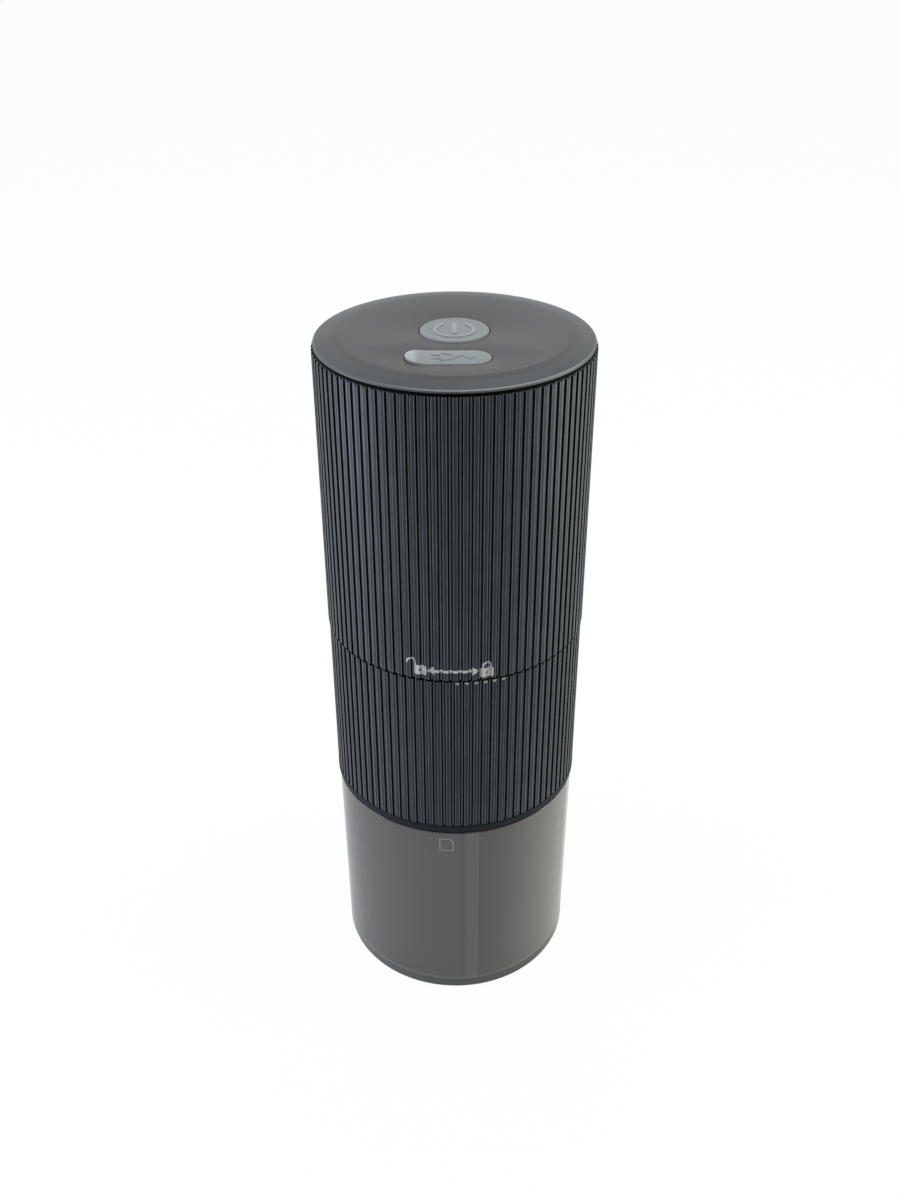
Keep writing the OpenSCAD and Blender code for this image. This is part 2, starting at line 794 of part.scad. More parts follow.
module spring_washer() {
    color("silver") difference() {
        tube(shaft_r + washer_rim, groove_r + press_gap, washer_z, washer_z + washer_t);
        translate([0, -clip_mouth / 2, washer_z - 1]) cube([far, clip_mouth, washer_t + 2]);
    }
}

// Coil spring from the cone burr's pocket up to the washer
module burr_spring() {
    steps = spring_turns * 14;
    sides = 8;
    low = spring_seat + spring_wire + 0.02;
    rise = washer_z - spring_seat - 2 * spring_wire - 0.04;
    pts = [for (i = [0 : steps]) let (a = 360 * spring_turns * i / steps, z = low + rise * i / steps)
        for (k = [0 : sides - 1]) let (b = 360 * k / sides, q = spring_r + spring_wire * cos(b))
            [q * cos(a), q * sin(a), z + spring_wire * sin(b)]];
    skin = [for (i = [0 : steps - 1], k = [0 : sides - 1]) let (n = (k + 1) % sides)
        [i * sides + k, i * sides + n, (i + 1) * sides + n, (i + 1) * sides + k]];
    first = [for (k = [sides - 1 : -1 : 0]) k];
    last = [for (k = [0 : sides - 1]) steps * sides + k];
    color("silver") polyhedron(points = pts, faces = concat([first], skin, [last]), convexity = 8);
}

// ----------------------------------------------------------------- cone burr

module inner_burr() {
    lower_h = cone_mid_z - cone_z;
    upper_h = cone_top - cone_mid_z;
    color([0.93, 0.91, 0.86]) difference() {
        union() {
            translate([0, 0, cone_z]) linear_extrude(lower_h, twist = 16, slices = 6,
                scale = cone_mid_r / cone_r) saw_outline(cone_r, fine_teeth, fine_depth);
            translate([0, 0, cone_mid_z - eps]) linear_extrude(upper_h, twist = 75, slices = 14,
                scale = cone_tip_r / cone_mid_r) blade_outline(cone_mid_r, blade_count, blade_depth);
            disc(cone_hub_r, cone_mid_z, cone_top);
        }
        difference() {
            disc(shaft_r + run_gap, cone_z - 1, cone_top + 1);
            shaft_flats(cone_z - 1, cone_top + 1, run_gap);
        }
        disc(spring_bore_r, spring_seat, cone_top + 1);
    }
}

module click_plate() {
    dimple_count = 12;
    dimple_r = 0.8;
    dimple_inset = 2.4;
    color("silver") difference() {
        disc(click_r, click_z, click_z + click_t);
        difference() {
            disc(shaft_r + run_gap, click_z - 1, click_z + click_t + 1);
            shaft_flats(click_z - 1, click_z + click_t + 1, run_gap);
        }
        around(dimple_count) translate([click_r - dimple_inset, 0, click_z]) sphere(r = dimple_r, $fn = 24);
    }
}

// -------------------------------------------------------------- grind adjust

module adjust_knob() {
    color([0.12, 0.12, 0.13]) difference() {
        disc(knob_r, knob_z, knob_top);
        around(grip_count) translate([knob_r + grip_r - grip_sink, 0, 0])
            disc(grip_r, knob_z - 1, knob_top - grip_crown);
        difference() {
            disc(knob_r - knob_skirt_w, knob_z - 1, knob_top - knob_web_t);
            disc(insert_r + knob_hub_wall, knob_z - 2, knob_top);
        }
        disc(insert_r, knob_z - 1, knob_top + 1);
    }
}

module knob_insert() {
    color("goldenrod") tube(insert_r, shaft_r + run_gap, knob_z, knob_top);
}

// ---------------------------------------------------------------- motor unit

module upper_housing() {
    color([0.13, 0.14, 0.17]) {
        difference() {
            union() {
                ribbed_skin(body_r, unit_z, unit_top - band_h);
                disc(body_core_r, unit_z, unit_top);
            }
            disc(unit_in_r, unit_z - 1, unit_top + 1);
            around(snap_count, 45) tube_arc(unit_in_r + snap_reach + snap_gap, unit_in_r - 1,
                snap_z - slip_gap, snap_z + snap_h + 2 * slip_gap,
                -snap_turn / 2 - snap_spare, snap_turn / 2 + snap_spare);
        }
        difference() {
            union() {
                tube(unit_in_r + eps, web_in_r, web_z, web_top);
                around(4, unit_screw_start) translate([unit_screw_ring, 0, 0])
                    disc(unit_boss_r, web_z, web_top + unit_boss_h);
            }
            around(4, unit_screw_start) translate([unit_screw_ring, 0, 0])
                disc(unit_screw_r + run_gap, web_z - 1, web_top + unit_boss_h - 1);
        }
    }
}

// Track for one lug, from its entry slot to its locked end
module lug_track() {
    spare = track_spare;
    tube_arc(far, track_r, lug_z - move_gap, lug_z + lug_h + move_gap,
        -unlock_turn - lug_turn / 2 - spare, lug_turn / 2 + spare);
    tube_arc(far, track_r, skirt_z - 1, lug_z,
        -unlock_turn - lug_turn / 2 - spare, -unlock_turn + lug_turn / 2 + spare);
}

module chassis() {
    color([0.16, 0.16, 0.17]) difference() {
        union() {
            tube(skirt_r, skirt_in_r, skirt_z, web_z);
            disc(skirt_r - 1, plate_z, plate_top);
            around(4, unit_screw_start) translate([unit_screw_ring, 0, 0])
                disc(unit_boss_r, plate_z, web_z);
        }
        around(lug_count) lug_track();
        disc(out_bush_r, plate_z - 1, plate_top + 1);
        around(4, unit_screw_start) translate([unit_screw_ring, 0, 0])
            disc(unit_screw_r + slip_gap, plate_z - 1, web_z + 1);
    }
}

module chassis_screws() {
    head_r = 2.3;
    head_h = 1.3;
    color("silver") around(4, unit_screw_start) screw_up(unit_screw_ring, plate_z, unit_screw_r,
        web_top + unit_boss_h - 2 - plate_z, head_r, head_h);
}

module gear_housing() {
    color("gainsboro") difference() {
        disc(gear_can_r, gear_can_z, gear_can_top);
        translate([0, 0, gear_can_z - 1]) linear_extrude(roof_z - gear_can_z + 1)
            rotate([0, 0, 180 / ring_teeth]) gear_outline(ring_teeth, 1);
        disc(motor_boss_r + slip_gap, roof_z - 1, gear_can_top + 1);
        motor_screw_holes(motor_screw_r + slip_gap, roof_z - 1);
        motor_screw_holes(2 * motor_screw_r, roof_z - 1, roof_z + motor_head_h + slip_gap);
    }
}

// Holes for the two screws that hold the motor
module motor_screw_holes(r, z0, z1 = motor_z + motor_screw_bite + 0.2) {
    for (side = [-1, 1]) translate([0, side * motor_screw_ring, 0]) disc(r, z0, z1);
}

module gearbox_cover() {
    color([0.3, 0.3, 0.31]) difference() {
        disc(gear_can_r, plate_top, gear_can_z);
        disc(out_bush_r, plate_top - 1, gear_can_z + 1);
    }
}

module output_bush() {
    color("goldenrod") tube(out_bush_r, out_shaft_r + run_gap, plate_z, gear_can_z);
}

module motor_can() {
    color("silver") difference() {
        union() {
            disc(motor_r, motor_z, motor_top);
            disc(motor_boss_r, motor_z - motor_boss_h, motor_z + 1);
        }
        disc(motor_shaft_r + run_gap, motor_z - 3, motor_z + motor_shaft_in + 0.5);
        motor_screw_holes(motor_screw_r, motor_z - 1);
    }
}

module motor_end_bell() {
    bell_r = motor_r - 1.2;
    bush_h = 1.4;
    tag_x = 8;
    tag_w = 2.8;
    tag_t = 0.8;
    tag_h = 4;
    color([0.12, 0.12, 0.13]) {
        disc(bell_r, motor_top, motor_top + end_bell_t);
        disc(motor_boss_r, motor_top, motor_top + end_bell_t + bush_h);
        for (side = [-1, 1]) translate([side * tag_x - tag_t / 2, -tag_w / 2, motor_top])
            cube([tag_t, tag_w, end_bell_t + tag_h]);
    }
}

module motor_screws() {
    color("silver") for (side = [-1, 1]) translate([0, side * motor_screw_ring, 0])
        screw_up(0, roof_z + motor_head_h, motor_screw_r - press_gap, roof_t - motor_head_h + motor_screw_bite,
            1.8 * motor_screw_r, motor_head_h);
}

module battery_frame() {
    rail_turn = 26;
    rail_t = 3;
    color([0.35, 0.35, 0.36]) difference() {
        union() {
            disc(frame_r + 1, web_top, web_top + tray_t);
            for (side = [-1, 1]) translate([side * cell_x, 0, 0])
                disc(cell_r + slip_gap + pocket_wall, web_top, cell_z + pocket_h);
            for (side = [90, 270]) tube_arc(frame_r + 1, frame_r - rail_t, web_top, board_tray_z,
                side - rail_turn, side + rail_turn);
        }
        tube(far, frame_r, web_top - 1, cell_z + far);
        disc(gear_can_r + slip_gap, web_top - 1, cell_top);
        for (side = [-1, 1]) translate([side * cell_x, 0, 0])
            disc(cell_r + slip_gap, web_top + tray_t, cell_top);
        around(4, unit_screw_start) translate([unit_screw_ring, 0, 0])
            disc(unit_boss_r + slip_gap, web_top - 1, web_top + unit_boss_h + 3);
    }
}

module battery_cell(side) {
    button_share = 0.42;
    crimp_depth = 0.4;
    crimp_w = 0.9;
    crimp_z = cell_top - 3.2;
    translate([side * cell_x, 0, 0]) difference() {
        union() {
            disc(cell_r, cell_z, cell_top - 1);
            disc(cell_r * button_share, cell_top - 1 - eps, cell_top);
        }
        tube(cell_r + 1, cell_r - crimp_depth, crimp_z, crimp_z + crimp_w);
    }
}

module battery_cell_left() {
    color("royalblue") battery_cell(-1);
}

module battery_cell_right() {
    color("royalblue") battery_cell(1);
}

module cell_strips() {
    strip_w = 7;
    color("silver") {
        for (side = [-1, 1]) translate([side * cell_x - strip_w / 2, -strip_w / 2, web_top + tray_t])
            cube([strip_w, strip_w, strip_t]);
        translate([-cell_x - strip_w / 2, -strip_w / 2, cell_top])
            cube([2 * cell_x + strip_w, strip_w, strip_t]);
    }
}

module board_tray() {
    color([0.35, 0.35, 0.36]) difference() {
        union() {
            disc(frame_r, board_tray_z, board_tray_top);
            around(4, 45) translate([board_screw_ring, 0, 0])
                disc(standoff_r, board_tray_z, board_z);
        }
        disc(tray_hole_r, board_tray_z - 1, board_tray_top + 1);
        around(4, 45) translate([board_screw_ring, 0, 0])
            disc(board_screw_r + run_gap, board_tray_z - 1, board_z + 1);
    }
}

module board_part(x, y, l, w, h) {
    translate([x - l / 2, y - w / 2, board_top - eps]) cube([l, w, h + eps]);
}

module circuit_board() {
    color("darkgreen") difference() {
        disc(board_r, board_z, board_top);
        around(4, 45) translate([board_screw_ring, 0, 0])
            disc(board_screw_r + 0.25, board_z - 1, board_top + 1);
        around(3, 90) translate([board_r, 0, 0]) disc(notch_r, board_z - 1, board_top + 1);
    }
    color([0.1, 0.1, 0.1]) {
        board_part(12, -6, 5, 5, 0.9);
        board_part(-13, 12, 6, 4, 1.5);
        board_part(10, 15, 4, 4, 2);
        board_part(20, 4, 3, 6, 1);
        board_part(-20, -2, 7, 3, 1);
    }
}

module board_screws() {
    head_r = 1.6;
    head_h = 1;
    color("silver") around(4, 45) screw_down(board_screw_ring, board_top, board_screw_r,
        board_t + board_screw_bite, head_r, head_h);
}

module usb_socket() {
    slot_l = socket_l - 2 * socket_wall;
    slot_w = socket_w - 2 * socket_wall;
    floor_t = 1;
    tongue_l = 6.6;
    tongue_w = 0.7;
    tongue_z = board_top + floor_t - eps;
    tongue_top = socket_top - 1.2 - eps;
    color("silver") translate([port_x, -port_y, 0]) difference() {
        translate([0, 0, board_top]) linear_extrude(socket_top - board_top)
            pill(-socket_l / 2, socket_l / 2, socket_w);
        translate([0, 0, board_top + floor_t]) linear_extrude(far)
            pill(-slot_l / 2, slot_l / 2, slot_w);
    }
    color([0.1, 0.1, 0.1]) translate([port_x - tongue_l / 2, -port_y - tongue_w / 2, tongue_z])
        cube([tongue_l, tongue_w, tongue_top - tongue_z]);
}

module tact_switch() {
    color([0.15, 0.15, 0.15]) translate([0, button_y, 0]) difference() {
        translate([-switch_w / 2, -switch_w / 2, board_top])
            cube([switch_w, switch_w, switch_top - board_top]);
        disc(plunger_r + run_gap, board_top + 0.8, plunger_z);
    }
}

module cap_section() {
    rim_z = cap_z + cap_rim_h;
    steps = 8;
    drop = top_z - cap_edge_r - rim_z - cap_rim_h;
    bevel = [for (i = [0 : steps]) let (t = i / steps)
        [cap_flat_r + bevel_w * t, top_z - drop * ((1 - bevel_crown) * t + bevel_crown * t * t)]];
    edge = [for (i = [0 : 5]) let (a = 80 - 80 * i / 5)
        [cap_r - cap_edge_r + cap_edge_r * cos(a), rim_z + cap_rim_h + cap_edge_r * sin(a)]];
    polygon(concat([[0, top_z]], bevel, edge, [[cap_r, cap_z], [cap_skirt_r, cap_z],
        [cap_skirt_r, cap_z - cap_skirt_h], [cap_skirt_in_r, cap_z - cap_skirt_h],
        [cap_skirt_in_r, cap_under - cap_under_chamfer / 2],
        [cap_skirt_in_r - cap_under_chamfer, cap_under], [0, cap_under]]));
}

module top_cap() {
    color([0.33, 0.33, 0.34]) difference() {
        union() {
            rotate_extrude() cap_section();
            around(3, 90) translate([cap_post_ring, 0, 0])
                disc(cap_post_r, board_tray_top, cap_under + 1);
            around(snap_count, 45) tube_arc(unit_in_r + snap_reach, cap_skirt_in_r + weld,
                snap_z, snap_z + snap_h, -snap_turn / 2, snap_turn / 2);
        }
        translate([0, button_y, 0]) disc(button_hole_r, cap_under - 1, top_z + 1);
        translate([0, -port_y, recess_z]) linear_extrude(far)
            pill(cover_x0 - recess_gap, cover_x1 + recess_gap, cover_w + 2 * recess_gap);
        translate([port_x, -port_y, cap_under - 1]) linear_extrude(far)
            pill(-socket_l / 2 - port_slot, socket_l / 2 + port_slot, socket_w + 2 * port_slot);
        translate([anchor_x, -port_y, 0]) disc(anchor_stem_r + slip_gap, cap_under - 1, top_z);
    }
}

// Fixed end of the silicone port cover, with its barbed stem
module cover_anchor() {
    color([0.55, 0.57, 0.6]) {
        translate([0, -port_y, recess_z + 0.05]) linear_extrude(flap_z + flap_t - recess_z - 0.05) intersection() {
            pill(cover_x0, cover_x1, cover_w);
            translate([hinge_x + hinge_gap / 2, -far / 2]) square(far);
        }
        translate([anchor_x, -port_y, 0]) {
            disc(anchor_stem_r, cap_under - slip_gap - anchor_barb_h, flap_z);
            disc(anchor_barb_r, cap_under - slip_gap - anchor_barb_h, cap_under - slip_gap);
        }
    }
}

// ------------------------------------------------------------- gearbox train

module gear(teeth, z0, w, bore_r) {
    difference() {
        translate([0, 0, z0]) linear_extrude(w) gear_outline(teeth);
        disc(bore_r, z0 - 1, z0 + w + 1);
    }
}

module planet(index, z0) {
    rotate([0, 0, 120 * index]) translate([gear_centre, 0, 0]) rotate([0, 0, 180 / planet_teeth])
        gear(planet_teeth, z0, planet_w, pin_r + run_gap);
}

module planet_pins(z0) {
    around(3) translate([gear_centre, 0, 0])
        disc(pin_r, z0, z0 + carrier_t + stage_gap + planet_w + stage_gap / 2);
}

module carrier_plate(z0) {
    difference() {
        disc(carrier_r, z0, z0 + carrier_t);
        around(3) translate([gear_centre, 0, 0])
            disc(pin_r + press_gap, z0 - 1, z0 + carrier_t + 1);
    }
}

module output_carrier() {
    color("gray") difference() {
        union() {
            carrier_plate(out_carrier_z);
            disc(out_shaft_r, upper_claw_z, out_carrier_z + eps);
        }
        translate([-far / 2, -far - out_shaft_r + out_flat, upper_claw_z - 1])
            cube([far, far, upper_claw_top - upper_claw_z + 1]);
    }
}

module output_pins() {
    color("silver") planet_pins(out_carrier_z);
}

module upper_claw() {
    color("gray") difference() {
        union() {
            disc(claw_r, upper_claw_z, upper_claw_top);
            around(2, claw_offset) tube_arc(claw_r - claw_inset, claw_in_r,
                upper_claw_z - claw_h, upper_claw_z + 1, -claw_turn / 2, claw_turn / 2);
        }
        difference() {
            disc(out_shaft_r + press_gap, upper_claw_z - 1, upper_claw_top + 1);
            translate([-far / 2, -far - out_shaft_r + out_flat - press_gap, upper_claw_z - 2])
                cube([far, far, far]);
        }
    }
}

module output_planet_1() {
    color("gainsboro") planet(0, out_planet_z);
}

module output_planet_2() {
    color("gainsboro") planet(1, out_planet_z);
}

module output_planet_3() {
    color("gainsboro") planet(2, out_planet_z);
}

module input_carrier() {
    color("gray") {
        carrier_plate(in_carrier_z);
        translate([0, 0, out_planet_z]) linear_extrude(in_carrier_z - out_planet_z + eps)
            gear_outline(sun_teeth);
    }
}

module input_pins() {
    color("silver") planet_pins(in_carrier_z);
}

module input_planet_1() {
    color("gainsboro") planet(0, in_planet_z);
}

module input_planet_2() {
    color("gainsboro") planet(1, in_planet_z);
}

module input_planet_3() {
    color("gainsboro") planet(2, in_planet_z);
}

module motor_shaft() {
    color("silver") disc(motor_shaft_r, in_planet_z, motor_z + motor_shaft_in);
}

module sun_pinion() {
    color("goldenrod") gear(sun_teeth, in_planet_z, planet_w, motor_shaft_r + press_gap);
}

// ------------------------------------------------------------------ controls

module power_button() {
    dome_r = 260;
    button_z = cap_under - 0.2 - button_flange_t;
    face_z = top_z + button_proud;
    color([0.6, 0.62, 0.66]) translate([0, button_y, 0]) {
        intersection() {
            disc(button_r, button_z, face_z);
            translate([0, 0, face_z - dome_r]) sphere(r = dome_r, $fn = 360);
        }
        disc(button_flange_r, button_z, button_z + button_flange_t);
        disc(button_stem_r, plunger_z, button_z + eps);
    }
}

module switch_plunger() {
    color([0.8, 0.2, 0.15]) translate([0, button_y, 0])
        disc(plunger_r, plunger_z - plunger_l, plunger_z);
}

module usb_cover() {
    color([0.55, 0.57, 0.6]) translate([0, -port_y, 0]) {
        translate([0, 0, flap_z]) linear_extrude(flap_t) intersection() {
            pill(cover_x0, cover_x1, cover_w);
            translate([hinge_x - hinge_gap / 2 - far, -far / 2]) square(far);
        }
        translate([0, 0, flap_z + flap_t - eps]) linear_extrude(lip_rise) intersection() {
            pill(cover_x0, cover_x1, cover_w);
            translate([cover_x0, -far / 2]) square([lip_len, far]);
        }
        translate([port_x, 0, socket_top - plug_depth]) linear_extrude(flap_z - socket_top + plug_depth + eps)
            pill(-plug_l / 2, plug_l / 2, plug_w);
    }
}

powder_cup();
cup_seal();
lower_housing();
bean_hopper();
hopper_screws();
outer_burr();
burr_retainer();
retainer_screws();
shaft_bridge();
bridge_bush();
bridge_screws();
burr_shaft();
lower_claw();
claw_pin();
shaft_clip();
spring_washer();
burr_spring();
inner_burr();
click_plate();
adjust_knob();
knob_insert();
upper_housing();
top_cap();
chassis();
chassis_screws();
gear_housing();
gearbox_cover();
output_bush();
motor_can();
motor_end_bell();
motor_screws();
battery_frame();
battery_cell_left();
battery_cell_right();
cell_strips();
board_tray();
circuit_board();
board_screws();
usb_socket();
tact_switch();
cover_anchor();
output_carrier();
output_pins();
upper_claw();
output_planet_1();
output_planet_2();
output_planet_3();
input_carrier();
input_pins();
input_planet_1();
input_planet_2();
input_planet_3();
motor_shaft();
sun_pinion();
power_button();
switch_plunger();
usb_cover();
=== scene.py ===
import json
from math import atan2, ceil, cos, degrees, dist, exp, pi, radians, sin, sqrt, tan, tau as TAU

import bmesh
import bpy
from mathutils import Matrix, Vector

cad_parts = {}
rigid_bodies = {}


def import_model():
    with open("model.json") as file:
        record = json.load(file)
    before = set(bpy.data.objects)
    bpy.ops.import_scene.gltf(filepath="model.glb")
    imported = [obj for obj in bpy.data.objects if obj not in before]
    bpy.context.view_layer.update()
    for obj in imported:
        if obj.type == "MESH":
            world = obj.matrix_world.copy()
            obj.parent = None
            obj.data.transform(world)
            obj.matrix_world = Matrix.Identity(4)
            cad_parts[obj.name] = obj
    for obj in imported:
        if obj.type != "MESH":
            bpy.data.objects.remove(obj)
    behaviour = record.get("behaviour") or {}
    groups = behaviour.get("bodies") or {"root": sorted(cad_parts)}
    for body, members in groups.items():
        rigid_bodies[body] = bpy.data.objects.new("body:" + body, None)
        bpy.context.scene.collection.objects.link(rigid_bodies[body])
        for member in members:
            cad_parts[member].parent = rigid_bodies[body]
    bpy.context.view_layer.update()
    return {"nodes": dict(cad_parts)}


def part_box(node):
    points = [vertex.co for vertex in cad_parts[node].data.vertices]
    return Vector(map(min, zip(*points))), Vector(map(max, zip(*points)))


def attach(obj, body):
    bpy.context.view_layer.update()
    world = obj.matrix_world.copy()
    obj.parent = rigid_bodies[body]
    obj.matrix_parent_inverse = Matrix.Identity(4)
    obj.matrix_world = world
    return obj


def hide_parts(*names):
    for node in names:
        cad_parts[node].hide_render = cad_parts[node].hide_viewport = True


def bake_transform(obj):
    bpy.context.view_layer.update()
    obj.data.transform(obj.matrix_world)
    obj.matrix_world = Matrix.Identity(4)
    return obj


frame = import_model()

MM = 0.001

# -------- sizes, in millimetres

def span(node):
    """Lowest and highest point of a node."""
    return [(corner / MM).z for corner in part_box(node)]


# Ribbed skins of the motor unit (upper) and the grinder base (lower)
RIBS, RIB_DEPTH, RIB_ROUNDING, RIB_END_SLOPE = 90, 0.45, 0.08, 0.3
CREST_SHARE, FLOOR_SHARE = 0.5, 0.2
BODY_R, BASE_R, WALL = 37.5, 37.2, 2.4
BASE_TURN = radians(0.7)
COLLAR_H, BAND_H = 2.5, 0.8

# Motor unit's housing: a web with posts for the chassis screws, and grooves for the cap's snaps
UPPER_Z, UPPER_TOP = span("upper_housing")
UPPER_CORE, UPPER_IN = BODY_R - RIB_DEPTH, BODY_R - RIB_DEPTH - WALL
WEB_LOW, WEB_HIGH, WEB_R = UPPER_Z + 0.4, UPPER_Z + 2.8, 24.4
POST_RING, POST_R, POST_BORE, POST_TOP = 27.6, 3.0, 1.15, WEB_HIGH + 4.6
SNAP_Z, SNAP_H, SNAP_GAP = UPPER_TOP - 4.2, 1.2, 0.1

# Grinder base's housing: a collar, a deck with screw holes, and the lugs of the twist lock
LOWER_Z, LOWER_TOP = span("lower_housing")
LOWER_CORE, LOWER_IN, COLLAR_R = BASE_R - RIB_DEPTH, BASE_R - RIB_DEPTH - WALL, BASE_R + 0.05
COLLAR_TOP = LOWER_Z + COLLAR_H
DECK_LOW, DECK_HIGH, DECK_R = 78.8, 81.0, 24.1
DECK_HOLE_RING, DECK_HOLE_R = 29.0, 1.2
LUG_LOW, LUG_HIGH, LUG_IN, LUG_HALF_TURN = 116.4, 118.9, 32.15, 10

# Cup
CUP_TOP = span("powder_cup")[1]
CUP_FOOT_R, CUP_SHOULDER_R, CUP_SHOULDER_Z, CUP_FLOOR_Z = 36.2, 36.8, 67.8, 5.0
CUP_IN_LOW, CUP_IN_HIGH = 33.8, 34.4
NECK_R, NECK_IN, SEAL_R, SEAL_LOW, SEAL_HIGH = 33.75, 31.75, 32.75, 71.3, 74.7
DISH_R, DISH_H = 31.2, 0.8

# Cap, button and port cover
TOP = 208.5
RIM_Z = UPPER_TOP + 0.2
CAP_R, FLAT_R, SKIRT_R, SKIRT_IN, SKIRT_Z = 37.05, 29.95, 34.55, 32.95, 201.6
RECESS_Z, UNDER_Z = 207.15, 205.9
CAP_POST_RING, CAP_POST_R, CAP_POST_LOW, CAP_POST_HIGH = 31.45, 2.4, 195.9, 206.1
BUTTON_Y, BUTTON_HOLE, BUTTON_LOW, BUTTON_TOP = 1.0, 9.37, 203.9, 208.85
PORT_X, PORT_Y, PORT_HALF, PORT_W = -1.6, -18.4, 4.72, 3.76
PLUG_HALF, PLUG_W, PLUG_LOW = 3.7, 1.8, 206.15
COVER_LEFT, COVER_RIGHT, COVER_W, COVER_THICK, COVER_RISE = -12.4, 9.2, 9.5, 1.4, 0.15
HINGE_X, HINGE_START, HINGE_END = 5.6, 6.0, 5.2
COVER_GAP = 0.2
STEM_X, STEM_LOW, STEM_R, STEM_HOLE, BARB_R = COVER_RIGHT - 1.9, 204.3, 0.9, 1.0, 1.3

# Points this near each other count as one
SAME_POINT = 1e-4

# Burr spring
SPRING_WIRE, SPRING_TURNS = 0.45, 4


# -------- node trees as arithmetic

class Reading:
    """A node socket that adds, multiplies and compares like a number; each step is a Math node."""

    def __init__(self, tree, socket):
        self.tree, self.socket = tree, socket

    def of(self, output):
        return Reading(self.tree, self.socket.node.outputs[output])

    def do(self, operation, *others):
        return self.tree.node("Math", [self, *others], operation=operation)

    def from_number(self, operation, number):
        return self.tree.node("Math", [number, self], operation=operation)

    def __add__(self, other): return self.do("ADD", other)
    __radd__ = __add__
    def __mul__(self, other): return self.do("MULTIPLY", other)
    __rmul__ = __mul__
    def __sub__(self, other): return self.do("SUBTRACT", other)
    def __rsub__(self, other): return self.from_number("SUBTRACT", other)
    def __truediv__(self, other): return self.do("DIVIDE", other)
    def __rtruediv__(self, other): return self.from_number("DIVIDE", other)
    def __pow__(self, other): return self.do("POWER", other)
    def __mod__(self, other): return self.do("FLOORED_MODULO", other)
    def __neg__(self): return self * -1
    def __abs__(self): return self.do("ABSOLUTE")
    def __gt__(self, other): return self.do("GREATER_THAN", other)
    def __lt__(self, other): return self.do("LESS_THAN", other)


class Tree:
    """A shader or geometry tree and its end. node() takes a type, its sockets' values or links, and its
    settings."""

    def __init__(self, tree, end):
        self.nodes, self.links = tree.nodes, tree.links
        self.nodes.clear()
        self.end = self.nodes.new(end)

    def show(self, last):
        self.links.new(last.socket, self.end.inputs[0])

    def node(self, kind, inputs=(), output=0, family="Shader", **settings):
        made = self.nodes.new(family + "Node" + kind)
        for key, value in settings.items():
            setattr(made, key, value)
        for key, value in inputs.items() if isinstance(inputs, dict) else enumerate(inputs):
            socket = made.inputs[key]
            if isinstance(value, Reading):
                self.links.new(value.socket, socket)
            elif isinstance(value, tuple) and len(value) == 3 and socket.type == "RGBA":
                socket.default_value = (*value, 1)
            else:
                socket.default_value = value
        return Reading(self, made.outputs[output])

    def vector(self, x, y, z):
        return self.node("CombineXYZ", [x, y, z])

    def colour(self, factor, first, second):
        """Two colours mixed by a factor."""
        return self.node("Mix", {0: factor, 6: first, 7: second}, 2, data_type="RGBA")

    def soft_step(self, value, low, high):
        """0 below low, 1 above high, smooth between."""
        limits = {"Value": value, "From Min": low, "From Max": high}
        return self.node("MapRange", limits, interpolation_type="SMOOTHSTEP")

    def window(self, value, rise, full, fall, none):
        """0 up to rise, 1 from full to fall, 0 again from none on."""
        return self.soft_step(value, rise, full) * (1 - self.soft_step(value, fall, none))


class Finish(Tree):
    """One material, with its Principled shader."""

    def __init__(self, name):
        self.material = bpy.data.materials.new(name)
        self.material.use_nodes = True
        super().__init__(self.material.node_tree, "ShaderNodeOutputMaterial")
        self.here = self.node("TexCoord", output=3)

    def shader(self, **sockets):
        return self.node("BsdfPrincipled", {key.replace("_", " "): value for key, value in sockets.items()})

    def shown(self, shader):
        self.show(shader)
        return self.material

    def surface(self, **sockets):
        return self.shown(self.shader(**sockets))

    def noise(self, size_mm, detail=2.0, where=None):
        """Noise with features of about this size."""
        return self.node("TexNoise",
                         {"Vector": where or self.here, "Scale": 1 / (size_mm * MM), "Detail": detail})

    def stretched(self, x, y, z):
        return self.node("Mapping", {"Vector": self.here, "Scale": (x, y, z)})

    def bumps(self, height, depth_mm):
        return self.node("Bump", {"Height": height, "Distance": depth_mm * MM})

    def round_about(self):
        """Radius, height, x and y of the shaded point, in millimetres."""
        apart = self.node("SeparateXYZ", [self.here])
        x, y, z = apart, apart.of("Y"), apart.of("Z")
        return ((x * x + y * y) ** 0.5) / MM, z / MM, x / MM, y / MM


def azimuth(x, y):
    """Angle round the axis in degrees, 0 in front and growing towards +X."""
    return x.do("ARCTAN2", -y) * (180 / pi)


# -------- finishes

def moulded(name, dark, light, rough, grain=0.22, depth=0.012, mottle=9.0):
    """Spark-eroded moulded plastic: fine grain, soft mottling and a faint change of gloss."""
    f = Finish(name)
    patch = f.noise(mottle, 3.0)
    fine = f.noise(grain)
    tone = f.soft_step(patch * 0.7 + fine * 0.3, 0.35, 0.65)
    return f.surface(Base_Color=f.colour(tone, dark, light),
                     Roughness=rough - 0.06 + tone * 0.1,
                     Normal=f.bumps(fine, depth))


